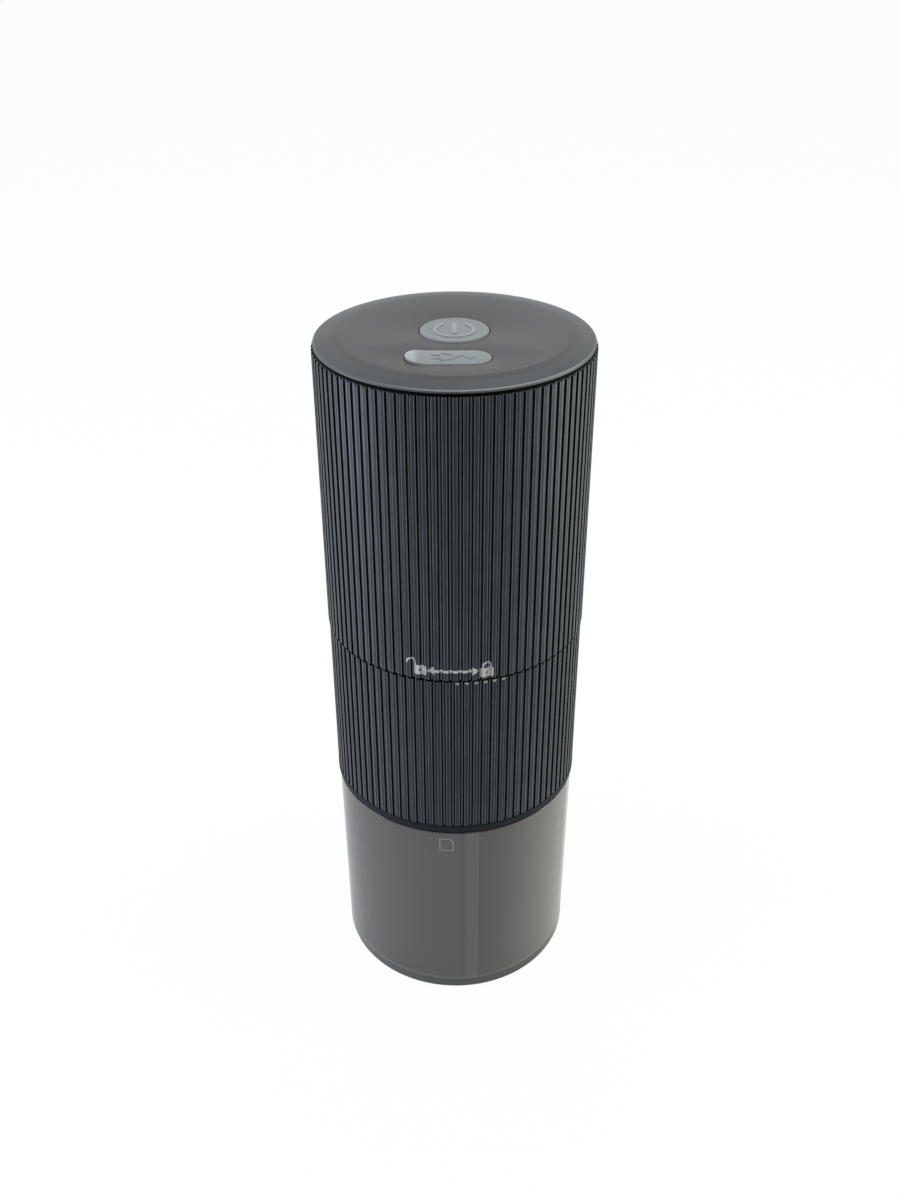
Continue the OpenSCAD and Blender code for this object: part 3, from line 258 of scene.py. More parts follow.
def ribbed_plastic(name, first_crest, rib_low, rib_top, painted_shadows, shine):
    """Black ribbed skin with painted light: a patchy painted highlight on the crest edges, painted light on
    the floors, and painted shade on the side walls, a near-black shader. Painted shadows, each from low to
    high and with a strength, get the same shade."""
    f = Finish(name)
    _, height, x, y = f.round_about()
    pitch, blur, shadow_blur, end_blur = 360 / RIBS, 0.04, 0.05, 0.1
    off = abs(((azimuth(x, y) - first_crest + pitch / 2) % pitch) - pitch / 2)
    crest, foot = pitch * CREST_SHARE / 2, pitch * (1 - FLOOR_SHARE) / 2
    ribbed_part = f.window(height, rib_low - end_blur, rib_low, rib_top, rib_top + end_blur)
    # Painted light: the groove floors come out paler
    floor = f.soft_step(off, foot - blur / 2, foot + blur) * ribbed_part
    # Painted shade on the side walls
    wall = f.soft_step(off, crest - blur, crest) * (1 - floor) * ribbed_part
    # Painted shadows: dark lines across the ribs, each with its strength, take the same painted shade as
    # the walls
    for low, high, strength in painted_shadows:
        painted_shadow = f.window(height, low - shadow_blur, low, high, high + shadow_blur)
        wall = wall.do("MAXIMUM", painted_shadow * strength)
    # Painted highlight along the crest edges, made patchy by a noise
    edge = f.window(off, crest - 0.46, crest - 0.26, crest - blur, crest) * ribbed_part
    patch = f.noise(7, 3.0)
    fine = f.noise(0.16)
    highlight_patches = f.soft_step(f.noise(3.0, 3.0, where=f.stretched(1, 1, 0.3)), 0.3, 0.7)
    fleck = f.soft_step(f.noise(0.9, 1.0, where=f.stretched(1, 1, 0.6)), 0.775, 0.8)
    plain = f.colour(patch, (0.006, 0.0094, 0.0145), (0.009, 0.0134, 0.0195))
    # Painted light on the floors
    painted_floor_light = f.colour(floor, plain, (0.06, 0.069, 0.077))
    # The crest edges' painted highlight
    wear_and_highlight = f.colour(edge * (0.55 + highlight_patches * 0.45), painted_floor_light, (0.094, 0.108, 0.121))
    grain = f.bumps(fine, 0.01)
    # The bluish specular tint stands in for cool light in the ribs' reflections
    highlighted = f.shader(Base_Color=f.colour(fleck * 0.3, wear_and_highlight, (0.2, 0.2, 0.21)),
                      Roughness=0.42 + patch * 0.08 + fine * 0.05, Specular_IOR_Level=shine,
                      Specular_Tint=(0.86, 0.96, 1.0, 1.0), Normal=grain)
    # This near-black shader is the painted shade of the side walls and of the painted shadows
    dull = f.shader(Base_Color=(0.0008, 0.0009, 0.0012), Roughness=0.62 + patch * 0.08,
                    Specular_IOR_Level=0.04, Normal=grain)
    return f.shown(f.node("MixShader", [wall, highlighted, dull]))


def cap_plastic():
    """Dark grey cap with a fine satin grain, a few dust specks and painted light: a painted highlight on
    the rim and a painted light line at the crease, both strongest at the front, a painted sheen on the
    front of the bevel, a painted dark reflection just outside the crease, and a bevel made bluer by a
    painted cool reflection.
    """
    f = Finish("satin_cap")
    patch = f.noise(14, 3.0)
    fine = f.noise(0.14)
    speck = f.soft_step(f.noise(0.7, 1.0), 0.775, 0.8)
    radius, height, x, y = f.round_about()
    # Painted highlight along the rim, strongest at the front
    highlighted = f.soft_step(radius, CAP_R - 0.63, CAP_R - 0.5) * f.soft_step(height, RIM_Z + 0.26, RIM_Z + 0.4)
    turn = azimuth(x, y)
    fore = f.window(turn, -40, 5, 40, 80)
    # Painted light line at the crease, used at the front
    crease = f.window(radius, FLAT_R - 0.45, FLAT_R - 0.05, FLAT_R + 0.05, FLAT_R + 0.55)
    # Painted dark reflection just outside the crease
    below = f.window(radius, FLAT_R + 0.15, FLAT_R + 0.65, FLAT_R + 1.45, FLAT_R + 3.45)
    # Painted sheen on the front of the bevel
    sheen = f.soft_step(radius, FLAT_R + 2.05, FLAT_R + 4.05) * f.soft_step(turn, -15, 15)
    sheen = sheen * (1 - f.soft_step(turn, 25, 50))
    plain = f.colour(patch, (0.051, 0.0535, 0.0545), (0.058, 0.0605, 0.0615))
    # Painted cool reflection: the bevel bluer than the flat top
    plain = f.colour(f.soft_step(radius, FLAT_R + 1.05, FLAT_R + 3.05) * 0.8, plain, (0.056, 0.063, 0.07))
    plain = f.colour(below * 0.6, plain, (0.036, 0.039, 0.044))
    # All painted light: the rim's painted highlight, the crease's light line and the front sheen
    wear_and_highlight = highlighted * (0.2 + fore * 0.75) + crease * fore * 0.12 + sheen * 0.07
    plain = f.colour(wear_and_highlight, plain, (0.26, 0.27, 0.28))
    return f.surface(Base_Color=f.colour(speck * 0.35, plain, (0.4, 0.4, 0.4)),
                     Roughness=0.44 + patch * 0.06 + fine * 0.04,
                     Normal=f.bumps(fine, 0.006))


def silicone(name, tone=1.0):
    """Pale blue-grey silicone: matt, faintly powdery, with a slight sheen and a painted highlight that
    makes the raised tab paler.
    """
    f = Finish(name)
    patch = f.noise(3.5, 3.0)
    fine = f.noise(0.1)
    speck = f.soft_step(f.noise(0.35, 1.0), 0.74, 0.78)
    low, high = (0.212, 0.232, 0.24), (0.238, 0.258, 0.266)
    plain = f.colour(patch, tuple(c * tone for c in low), tuple(c * tone for c in high))
    _, height, _, _ = f.round_about()
    # Painted highlight: parts above the cap's top, such as the cover's curled tab, come out paler
    tab = f.soft_step(height, TOP + 0.3, TOP + 0.65)
    plain = f.colour(tab * 0.8, plain, (0.42, 0.44, 0.45))
    return f.surface(Base_Color=f.colour(speck * 0.4, plain, (0.12, 0.12, 0.13)),
                     Roughness=0.6 + fine * 0.12, Sheen_Weight=0.15, Sheen_Roughness=0.5,
                     Normal=f.bumps(fine, 0.008))


def smoke():
    """Smoke-grey translucent cup, polished, with painted light: a painted reflection band lighter towards
    its right, painted reflection streaks with a thin light line, a right side lighter and warmer from
    painted light with a painted dark line and a painted reflection next to it, a pale painted highlight at
    the inner floor's edge, and a thick dark foot."""
    f = Finish("smoke_clear")
    _, height, x, y = f.round_about()
    turn = azimuth(x, y)
    haze = f.noise(22)
    smear = f.noise(6, 3.0, where=f.stretched(1, 1, 0.25))
    # Painted reflection: an upright band, lighter towards its right
    reflection_band = f.window(turn, -23.9, -23.2, 1, 5)
    # Painted reflection: light warm streaks and a thin light line
    reflection_streaks = f.window(turn, 3, 6, 8, 12)
    line = f.window(turn, 9.6, 10.0, 10.4, 10.8)
    foot = 1 - f.soft_step(height, 4.1, 4.5)
    # Painted highlight along the inner floor's edge
    inner_edge_highlight = f.window(height, 4.35, 4.6, 4.7, 5.4)
    above = f.soft_step(height, 14, 16)
    # Painted reflection on the right side: a dark upright line with a light band next to it
    edge = f.window(turn, 67.0, 67.8, 68.8, 69.6) * above
    side_reflection = f.window(turn, 69.6, 70.4, 76, 80) * above
    body = f.colour(haze, (0.094, 0.094, 0.09), (0.104, 0.103, 0.098))
    # Painted light: the right side lighter and warmer
    body = f.colour(f.window(turn, 6, 84, 86, 150), body, (0.225, 0.211, 0.183))
    body = f.colour(reflection_band * 0.9, body, (0.1, 0.101, 0.101))
    body = f.colour(reflection_band * f.soft_step(turn, -22, 4) * 0.7, body, (0.122, 0.123, 0.12))
    body = f.colour(reflection_streaks * 0.55 + line * 0.55, body, (0.18, 0.172, 0.156))
    body = f.colour(inner_edge_highlight * 0.6, body, (0.24, 0.234, 0.212))
    body = f.colour(foot, body, (0.094, 0.092, 0.089))
    body = f.colour(edge * 0.65, body, (0.04, 0.04, 0.04))
    body = f.colour(side_reflection * 0.3, body, (0.42, 0.41, 0.38))
    mat = f.surface(Base_Color=body, Roughness=0.07 + f.soft_step(smear, 0.5, 0.8) * 0.05,
                    Transmission_Weight=0.15, IOR=1.5, Specular_IOR_Level=0.36)
    thick = f.node("VolumeAbsorption", {"Color": (0.05, 0.05, 0.03), "Density": 60.0})
    f.links.new(thick.socket, f.end.inputs["Volume"])
    return mat


def ink(name, colour):
    """Printed ink: a thin silvery film with slight wear."""
    f = Finish(name)
    wear_and_highlight = f.noise(0.35, 3.0)
    patch = f.noise(2.0)
    shade = f.colour(patch, tuple(c * 0.88 for c in colour), colour)
    return f.surface(Base_Color=f.colour(f.soft_step(wear_and_highlight, 0.66, 0.78) * 0.5, shade, (0.05, 0.05, 0.055)),
                     Roughness=0.42 + wear_and_highlight * 0.2, Metallic=0.15, Normal=f.bumps(wear_and_highlight, 0.01))


def turned_metal(name, dark, light, rough=0.3):
    """Turned or ground metal with fine rings and a few stains."""
    f = Finish(name)
    radius, height, _, _ = f.round_about()
    across = f.vector(radius * 6, height * 6, 0.0)
    ring = f.node("TexNoise", {"Vector": across, "Scale": 1.0, "Detail": 3.0}, noise_dimensions="2D")
    stain = f.noise(4, 3.0)
    return f.surface(Base_Color=f.colour(f.soft_step(stain, 0.4, 0.7), dark, light), Metallic=1.0,
                     Roughness=rough + ring * 0.14 - 0.05, Normal=f.bumps(ring, 0.004))


def ceramic(name):
    """Fired ceramic, off-white, smooth with fine pores."""
    f = Finish(name)
    patch = f.noise(5, 3.0)
    pore = f.soft_step(f.noise(0.3, 1.0), 0.7, 0.76)
    plain = f.colour(patch, (0.66, 0.63, 0.55), (0.76, 0.73, 0.66))
    return f.surface(Base_Color=f.colour(pore * 0.5, plain, (0.35, 0.31, 0.25)),
                     Roughness=0.34 + patch * 0.12, Normal=f.bumps(-pore, 0.01))


def wrap(name, colour):
    """Heat-shrunk sleeve of a cell: glossy film with slight wrinkles."""
    f = Finish(name)
    wrinkle = f.noise(2.5, 3.0, where=f.stretched(1, 1, 3))
    patch = f.noise(9)
    return f.surface(Base_Color=f.colour(patch, tuple(c * 0.85 for c in colour), colour),
                     Roughness=0.28 + patch * 0.1, Normal=f.bumps(wrinkle, 0.05))


def board_green():
    """Circuit board lacquer with faint tracks below."""
    f = Finish("board_lacquer")
    apart = f.node("SeparateXYZ", [f.here])
    lane = f.soft_step(abs(((apart / MM) % 2.4) - 1.2), 0.25, 0.4)
    cross = f.soft_step(f.noise(4, 1.0), 0.48, 0.52)
    tracks = (1 - lane) * cross
    return f.surface(Base_Color=f.colour(tracks, (0.01, 0.085, 0.03), (0.02, 0.15, 0.055)),
                     Roughness=0.3 + f.noise(3) * 0.12, Normal=f.bumps(tracks, 0.03))


UPPER_RIB_TOP = UPPER_TOP - BAND_H
# Painted shadows as (low, high, strength): dark lines at the foot of the upper ribs, over the band below
# the cap, at the collar's foot and under the top edge of the lower ribs, and painted shade at 0.45 over the
# collar
UPPER_PAINTED_SHADOWS = [(UPPER_Z - 1, UPPER_Z + 0.32, 1), (UPPER_RIB_TOP, UPPER_TOP + 1, 1)]
LOWER_PAINTED_SHADOWS = [(LOWER_Z - 1, LOWER_Z + 0.55, 1), (LOWER_Z + 0.5, COLLAR_TOP, 0.45),
               (LOWER_TOP - 0.24, LOWER_TOP + 1, 1)]

FINISHES = {
    "upper_ribs": ribbed_plastic("black_ribbed_upper", 0.0, UPPER_Z, UPPER_RIB_TOP, UPPER_PAINTED_SHADOWS, 0.41),
    "lower_ribs": ribbed_plastic("black_ribbed_lower", degrees(BASE_TURN), COLLAR_TOP, LOWER_TOP,
                                 LOWER_PAINTED_SHADOWS, 0.33),
    "cap": cap_plastic(),
    "silicone": silicone("soft_silicone"),
    "smoke": smoke(),
    "ink": ink("silver_ink", (0.52, 0.52, 0.5)),
    "cup_ink": ink("grey_ink", (0.3, 0.3, 0.29)),
    "inner_black": moulded("inner_black", (0.01, 0.01, 0.011), (0.018, 0.018, 0.019), 0.5),
    "knob": moulded("knob_black", (0.02, 0.02, 0.021), (0.03, 0.03, 0.031), 0.42, grain=0.3),
    "inner_grey": moulded("inner_grey", (0.06, 0.06, 0.062), (0.085, 0.085, 0.088), 0.5),
    "seal": silicone("seal_silicone", 0.45),
    "steel": turned_metal("turned_steel", (0.48, 0.47, 0.46), (0.6, 0.59, 0.58)),
    "die_cast": turned_metal("die_cast", (0.42, 0.42, 0.43), (0.55, 0.55, 0.56), 0.42),
    "bronze": turned_metal("bush_bronze", (0.42, 0.27, 0.12), (0.55, 0.38, 0.19), 0.34),
    "ceramic": ceramic("burr_ceramic"),
    "acetal": moulded("white_acetal", (0.66, 0.65, 0.61), (0.76, 0.75, 0.71), 0.38, depth=0.006),
    "cell_blue": wrap("cell_sleeve_blue", (0.03, 0.12, 0.38)),
    "board": board_green(),
    "red": moulded("red_acetal", (0.36, 0.02, 0.015), (0.46, 0.03, 0.02), 0.36),
}

FINISH_NODES = {
    "seal": ("cup_seal",),
    "inner_black": ("bean_hopper", "burr_retainer", "chassis", "motor_end_bell", "tact_switch"),
    "inner_grey": ("battery_frame", "board_tray"),
    "ceramic": ("outer_burr", "inner_burr"),
    "die_cast": ("shaft_bridge", "gear_housing", "gearbox_cover"),
    "bronze": ("bridge_bush", "knob_insert", "output_bush", "sun_pinion"),
    "knob": ("adjust_knob",),
    "cell_blue": ("battery_cell_left", "battery_cell_right"),
    "board": ("circuit_board",),
    "red": ("switch_plunger",),
    "acetal": ("output_carrier", "input_carrier",
               *(f"{stage}_planet_{number}" for stage in ("output", "input") for number in (1, 2, 3))),
}
NODE_FINISH = {node: finish for finish, nodes in FINISH_NODES.items() for node in nodes}


def dress(piece, finish):
    """The piece shows one finish all over."""
    piece.data.materials.clear()
    piece.data.materials.append(FINISHES[finish])


for name, piece in frame["nodes"].items():
    dress(piece, NODE_FINISH.get(name, "steel"))


# -------- making pieces

def linked(name, data):
    """A new object in the scene."""
    made = bpy.data.objects.new(name, data)
    bpy.context.scene.collection.objects.link(made)
    return made


def outward(name, mesh):
    """A piece from an edit mesh, its faces turned outwards."""
    bmesh.ops.recalc_face_normals(mesh, faces=mesh.faces)
    data = bpy.data.meshes.new(name)
    mesh.to_mesh(data)
    mesh.free()
    return linked(name, data)


def smooth(piece, angle):
    """Smooth faces, with edges sharper than this angle kept."""
    for face in piece.data.polygons:
        face.use_smooth = True
    marks = bmesh.new()
    marks.from_mesh(piece.data)
    for edge in marks.edges:
        if len(edge.link_faces) == 2:
            edge.smooth = edge.calc_face_angle(0) < radians(angle)
    marks.to_mesh(piece.data)
    marks.free()


def turned(name, profile, steps):
    """A closed piece turned round the axis from a closed outline of (radius, height), in millimetres."""
    mesh = bmesh.new()
    rings = []
    for radius, height in profile:
        if radius < 1e-6:
            rings.append([mesh.verts.new((0, 0, height * MM))])
        else:
            rings.append([mesh.verts.new((radius * MM * cos(TAU * i / steps),
                                          radius * MM * sin(TAU * i / steps), height * MM))
                          for i in range(steps)])
    for first, second in zip(rings, rings[1:] + rings[:1]):
        if len(first) == 1 and len(second) == 1:
            continue
        for i in range(steps):
            j = (i + 1) % steps
            ways = (first, i), (first, j), (second, j), (second, i)
            kept = list(dict.fromkeys(ring[k % len(ring)] for ring, k in ways))
            if len(kept) > 2:
                mesh.faces.new(kept)
    return outward(name, mesh)


def polar(radius, turn, x=0.0, y=0.0):
    """The point at this radius and turn round (x, y)."""
    return x + radius * cos(turn), y + radius * sin(turn)


def fillet(corners, rounding, steps=4):
    """A closed outline with its corners rounded; rounding is one size, or one for each corner."""
    rounds = rounding if isinstance(rounding, (list, tuple)) else [rounding] * len(corners)
    made = []
    count = len(corners)
    for i, (corner, size) in enumerate(zip(corners, rounds)):
        p = Vector(corner)
        if size <= 0:
            made.append(tuple(p))
            continue
        before, after = Vector(corners[i - 1]) - p, Vector(corners[(i + 1) % count]) - p
        half = before.angle(after) / 2
        reach = min(size / tan(half), before.length * 0.49, after.length * 0.49)
        size = reach * tan(half)
        start, end = p + before.normalized() * reach, p + after.normalized() * reach
        centre = p + (before.normalized() + after.normalized()).normalized() * (size / sin(half))
        a0 = atan2(*(start - centre).yx)
        turn = (atan2(*(end - centre).yx) - a0 + pi) % TAU - pi
        made += [polar(size, a0 + turn * k / steps, centre.x, centre.y) for k in range(steps + 1)]
    return made


def baked(piece):
    """The piece with its modifiers made real and removed."""
    graph = bpy.context.evaluated_depsgraph_get()
    data = bpy.data.meshes.new_from_object(piece.evaluated_get(graph))
    piece.modifiers.clear()
    old, name = piece.data, piece.data.name
    piece.data = data
    bpy.data.meshes.remove(old)
    data.name = name
    return piece


# -------- outlines and closed skins

def circle(x, y, radius, steps):
    return [polar(radius, TAU * i / steps, x, y) for i in range(steps)]


def bend(x, z, radius, start, end, steps=6):
    """Points of a rounded edge round (x, z), without its first one; angles in degrees."""
    return [polar(radius, radians(start + (end - start) * i / steps), x, z) for i in range(1, steps + 1)]


def pill(x0, x1, y, width, grow=0.0, steps=24):
    """Outline of a slot with round ends; grow widens it all round."""
    r = width / 2 + grow
    x0, x1 = x0 - grow + r, x1 + grow - r
    turns = [pi * i / steps for i in range(steps + 1)]
    right = [(x1 + r * sin(a), y - r * cos(a)) for a in turns]
    left = [(x0 - r * sin(a), y + r * cos(a)) for a in turns]
    return right + left


class Shell:
    """A closed skin put together from rings of points, in millimetres."""

    def __init__(self):
        self.mesh = bmesh.new()

    def loop(self, points):
        return [self.mesh.verts.new((x * MM, y * MM, z * MM)) for x, y, z in points]

    def ring(self, outline, height):
        return self.loop((x, y, height) for x, y in outline)

    def wall(self, *rings):
        for first, second in zip(rings, rings[1:]):
            for i in range(len(first)):
                j = (i + 1) % len(first)
                self.mesh.faces.new([first[i], first[j], second[j], second[i]])

    def rise(self, levels):
        """Walls up through (outline, height) levels; their rings are given back."""
        rings = [self.ring(outline, height) for outline, height in levels]
        self.wall(*rings)
        return rings

    def capped(self, rings):
        """Walls through all rings, with a face over the first and the last."""
        self.wall(*rings)
        self.mesh.faces.new(rings[0])
        self.mesh.faces.new(rings[-1])

    def plate(self, *rings):
        """A flat face inside the first ring, with the others as holes in it."""
        edges = []
        for ring in rings:
            for first, second in zip(ring, ring[1:] + ring[:1]):
                edges.append(self.mesh.edges.get((first, second)) or self.mesh.edges.new((first, second)))
        bmesh.ops.triangle_fill(self.mesh, use_beauty=True, use_dissolve=False, edges=edges)

    def block(self, outline, low, high, rounding=0.0):
        """A flat piece of this outline, standing alone in the same mesh, its upper edge rounded."""
        rings = [self.ring(outline, low), self.ring(outline, high - rounding)]
        if rounding:
            for k in (1, 2, 3):
                turn = pi / 2 * k / 3
                rings.append(self.ring(shrunk(outline, rounding * (1 - cos(turn))),
                                       high - rounding * (1 - sin(turn))))
        self.capped(rings)

    def done(self, name, angle):
        piece = outward(name, self.mesh)
        smooth(piece, angle)
        return piece


def shrunk(outline, by):
    """The outline moved inwards by a distance."""
    made = []
    area = sum(a[0] * b[1] - b[0] * a[1] for a, b in zip(outline, outline[1:] + outline[:1]))
    side = 1 if area > 0 else -1
    for before, here, after in zip(outline[-1:] + outline[:-1], outline, outline[1:] + outline[:1]):
        first = (Vector(here) - Vector(before)).normalized()
        second = (Vector(after) - Vector(here)).normalized()
        normal = Vector((-first.y - second.y, first.x + second.x)) * side
        share = 1 + first.dot(second)
        made.append(tuple(Vector(here) + normal * (by / max(share, 0.2))))
    return made


def band(points, width):
    """Outline of a stripe of one width along a line of points, with round ends."""
    left, right = [], []
    for i, point in enumerate(points):
        along = (Vector(points[min(i + 1, len(points) - 1)]) - Vector(points[max(i - 1, 0)])).normalized()
        side = Vector((-along.y, along.x)) * width / 2
        left.append(tuple(Vector(point) + side))
        right.append(tuple(Vector(point) - side))
    return (left + round_end(points[-1], points[-2], width)
            + right[::-1] + round_end(points[0], points[1], width))


def round_end(end, before, width, count=5):
    """Points of the half circle that closes a stripe."""
    along = (Vector(end) - Vector(before)).normalized()
    start = atan2(along.x, -along.y)
    return [polar(width / 2, start - pi * k / (count + 1), *end) for k in range(1, count + 1)]


def settle(piece, finish, body, slot_name, *nodes):
    """Finish, body and the nodes that the piece stands for; the slot name is not used."""
    dress(piece, finish)
    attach(piece, body)
    if nodes:
        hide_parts(*nodes)


def evenly(count, start, make):
    """Outlines made at angles evenly round the axis, from a starting angle in degrees."""
    return [make(radians(start + 360 * k / count)) for k in range(count)]


def round_at(ring, radius, steps=40):
    return lambda turn: circle(*polar(ring, turn), radius, steps)


def arc_at(outer, inner, half_turn, steps=16):
    """Outline of part of a ring, this many degrees to each side of its middle."""
    half = radians(half_turn)

    def outline(turn):
        turns = [turn - half + 2 * half * i / steps for i in range(steps + 1)]
        return [polar(outer, a) for a in turns] + [polar(inner, a) for a in turns[::-1]]
    return outline


def combined(piece, blocks, how):
    """The piece with upright blocks added or cut away; each is (outlines, low, high), in millimetres."""
    for outlines, low, high in blocks:
        s = Shell()
        for outline in outlines:
            s.block(outline, low, high)
        tool = s.done("tool", 35)
        cutter = piece.modifiers.new("combined", "BOOLEAN")
        cutter.object, cutter.operation, cutter.solver = tool, how, "EXACT"
        baked(piece)
        data = tool.data
        bpy.data.objects.remove(tool)
        bpy.data.meshes.remove(data)


# -------- ribs, grown by a geometry tree

class Grower(Tree):
    """A geometry tree with named inputs, each with its kind of socket."""

    def __init__(self, name, kinds):
        self.group = bpy.data.node_groups.new(name, "GeometryNodeTree")
        self.ids = {label: self.socket(label, "INPUT", kind) for label, kind in kinds.items()}
        self.socket("Geometry", "OUTPUT", "Geometry")
        super().__init__(self.group, "NodeGroupOutput")
        self.start = self.node("GroupInput", family="")

    def socket(self, label, side, kind):
        face = self.group.interface
        return face.new_socket(label, in_out=side, socket_type="NodeSocket" + kind).identifier

    def given(self, label):
        return self.start.of(label)

    def shape(self, kind, inputs=(), **settings):
        return self.node(kind, inputs, family="Geometry", **settings)

    def done(self, shape, finish):
        real = self.shape("RealizeInstances", {"Geometry": shape})
        self.show(self.shape("SetMaterial", {"Geometry": real, "Material": finish}))

    def grow_on(self, piece, sizes):
        grown = piece.modifiers.new("grown", "NODES")
        grown.node_group = self.group
        for label, value in sizes.items():
            grown[self.ids[label]] = value
        return baked(piece)


def rib_grower():
    """Upright ribs round a core: each is a rounded trapezium swept up, drawn in at both ends."""
    sizes = ("Crest radius", "Depth", "Crest share", "Floor share", "Bottom", "Top", "Rounding", "Turn",
             "End slope")
    g = Grower("ribs_round_core", {"Geometry": "Geometry", "Ribs": "Int", **dict.fromkeys(sizes, "Float"),
                                   "Finish": "Material"})
    pitch = g.given("Crest radius") * TAU / g.given("Ribs")
    root, never_zero, end_scale = 0.0001, 0.000001, 0.3
    foot = g.given("Depth") + root
    slope = foot / g.given("Depth")
    crest = pitch * g.given("Crest share")
    spread = pitch * (1 - g.given("Floor share")) - crest
    sides = {"Bottom Width": crest + spread * slope, "Top Width": crest, "Height": foot, "Offset": 0.0}
    outline = g.shape("CurvePrimitiveQuadrilateral", sides, mode="TRAPEZOID")
    moved = g.shape("Transform", {"Geometry": outline, "Translation": g.vector(0.0, foot / 2, 0.0)})
    index = g.shape("InputIndex")
    out = g.node("SeparateXYZ", [g.shape("InputPosition")]).of("Y")
    radius = g.given("Rounding") * (out > foot * 0.5) + never_zero
    rounded = g.shape("FilletCurve", {"Curve": moved, "Count": 3, "Radius": radius}, mode="POLY")
    low, high, ends = g.given("Bottom"), g.given("Top"), g.given("End slope")
    spine = g.shape("CurvePrimitiveLine", {"Start": (0, 0, 0), "End": (0, 0, 1)})
    four = g.shape("ResampleCurve", {"Curve": spine, "Count": 4})
    place = low + ends * (index > 0.5) + (high - low - ends * 2) * (index > 1.5) + ends * (index > 2.5)
    placed = g.shape("SetPosition", {"Geometry": four, "Position": g.vector(0.0, 0.0, place)})
    inside = (index > 0.5) * (index < 2.5)
    drawn = g.shape("SetCurveRadius", {"Curve": placed, "Radius": end_scale + inside * (1 - end_scale)})
    swept = g.shape("CurveToMesh", {"Curve": drawn, "Profile Curve": rounded, "Fill Caps": True,
                                    "Scale": g.shape("InputRadius")})
    ring = g.shape("MeshCircle", {"Vertices": g.given("Ribs"), "Radius": g.given("Crest radius") - foot})
    spin = g.vector(0.0, 0.0, index * TAU / g.given("Ribs") - pi / 2)
    stood = g.shape("InstanceOnPoints", {"Points": ring, "Instance": swept, "Rotation": spin})
    half = TAU / g.given("Ribs") / 2 + g.given("Turn")
    ribs = g.shape("Transform", {"Geometry": stood, "Rotation": g.vector(0.0, 0.0, half)})
    both = g.shape("JoinGeometry")
    for shape in (g.start, ribs):
        g.links.new(shape.socket, both.socket.node.inputs[0])
    g.done(both, g.given("Finish"))
    return g


ribs = rib_grower()


def ribbed(name, profile, added, drilled, crest_r, bottom, top, turn, finish, body, node):
    """A turned core with forms added, holes drilled and ribs grown round it, standing for one housing."""
    core = turned(name, profile, 360)
    combined(core, added, "UNION")
    combined(core, drilled, "DIFFERENCE")
    ribs.grow_on(core, {"Ribs": RIBS, "Crest radius": crest_r * MM, "Depth": RIB_DEPTH * MM,
                        "Crest share": CREST_SHARE, "Floor share": FLOOR_SHARE, "Bottom": bottom * MM,
                        "Top": top * MM, "Rounding": RIB_ROUNDING * MM, "Turn": turn,
                        "End slope": RIB_END_SLOPE * MM, "Finish": FINISHES[finish]})
    smooth(core, 50)
    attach(core, body)
    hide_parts(node)


# -------- ribbed housings

ribbed("ribbed_motor_housing",
       fillet([(UPPER_CORE, UPPER_Z), (UPPER_CORE, UPPER_TOP), (UPPER_IN, UPPER_TOP), (UPPER_IN, WEB_HIGH),
               (WEB_R, WEB_HIGH), (WEB_R, WEB_LOW), (UPPER_IN, WEB_LOW), (UPPER_IN, UPPER_Z)],
              [0.2, 0.25, 0.1, 0.4, 0.3, 0.3, 0, 0.1]),
       [(evenly(4, 45, round_at(POST_RING, POST_R)), WEB_HIGH - 0.4, POST_TOP)],
       [(evenly(4, 45, round_at(POST_RING, POST_BORE, 24)), WEB_LOW - 1, POST_TOP - 1),
        (evenly(4, 45, arc_at(UPPER_IN + 0.5, UPPER_IN - 1, 7)),
         SNAP_Z - SNAP_GAP, SNAP_Z + SNAP_H + 2 * SNAP_GAP)],
       BODY_R, UPPER_Z, UPPER_RIB_TOP, 0.0, "upper_ribs", "motor_unit", "upper_housing")

ribbed("ribbed_grinder_housing",
       fillet([(COLLAR_R, LOWER_Z), (COLLAR_R, COLLAR_TOP), (LOWER_CORE, COLLAR_TOP),
               (LOWER_CORE, LOWER_TOP), (LOWER_IN, LOWER_TOP), (LOWER_IN, DECK_HIGH), (DECK_R, DECK_HIGH),
               (DECK_R, DECK_LOW), (LOWER_IN, DECK_LOW), (LOWER_IN, LOWER_Z)],
              [0.35, 0.2, 0, 0.2, 0.2, 0.5, 0.2, 0.2, 0.5, 0.4]),
       [(evenly(3, 0, arc_at(LOWER_IN + 0.3, LUG_IN, LUG_HALF_TURN)), LUG_LOW, LUG_HIGH)],
       [(evenly(3, 30, round_at(DECK_HOLE_RING, DECK_HOLE_R, 24)), DECK_LOW - 1, DECK_HIGH + 1)],
       BASE_R, COLLAR_TOP, LOWER_TOP, BASE_TURN, "lower_ribs", "grinder", "lower_housing")


# -------- smoke cup

cup = turned("smoke_powder_cup",
             fillet([(0, DISH_H), (DISH_R, DISH_H), (DISH_R, 0.0), (CUP_FOOT_R, 0.0),
                     (CUP_SHOULDER_R, CUP_SHOULDER_Z), (NECK_R, CUP_SHOULDER_Z), (NECK_R, SEAL_LOW),
                     (SEAL_R, SEAL_LOW), (SEAL_R, SEAL_HIGH), (NECK_R, SEAL_HIGH), (NECK_R, CUP_TOP),
                     (NECK_IN, CUP_TOP), (NECK_IN, CUP_SHOULDER_Z - 0.5), (CUP_IN_HIGH, CUP_SHOULDER_Z - 5),
                     (CUP_IN_LOW, CUP_FLOOR_Z), (0, CUP_FLOOR_Z)],
                    [0, 0.4, 0.3, 1.6, 0.8, 0.3, 0.1, 0.1, 0.1, 0.1, 0.5, 0.5, 1.5, 2.5, 2.5, 0], 8), 256)
smooth(cup, 30)
settle(cup, "smoke", "cup", "smoke_plastic", "powder_cup")


# -------- cap, button and port cover

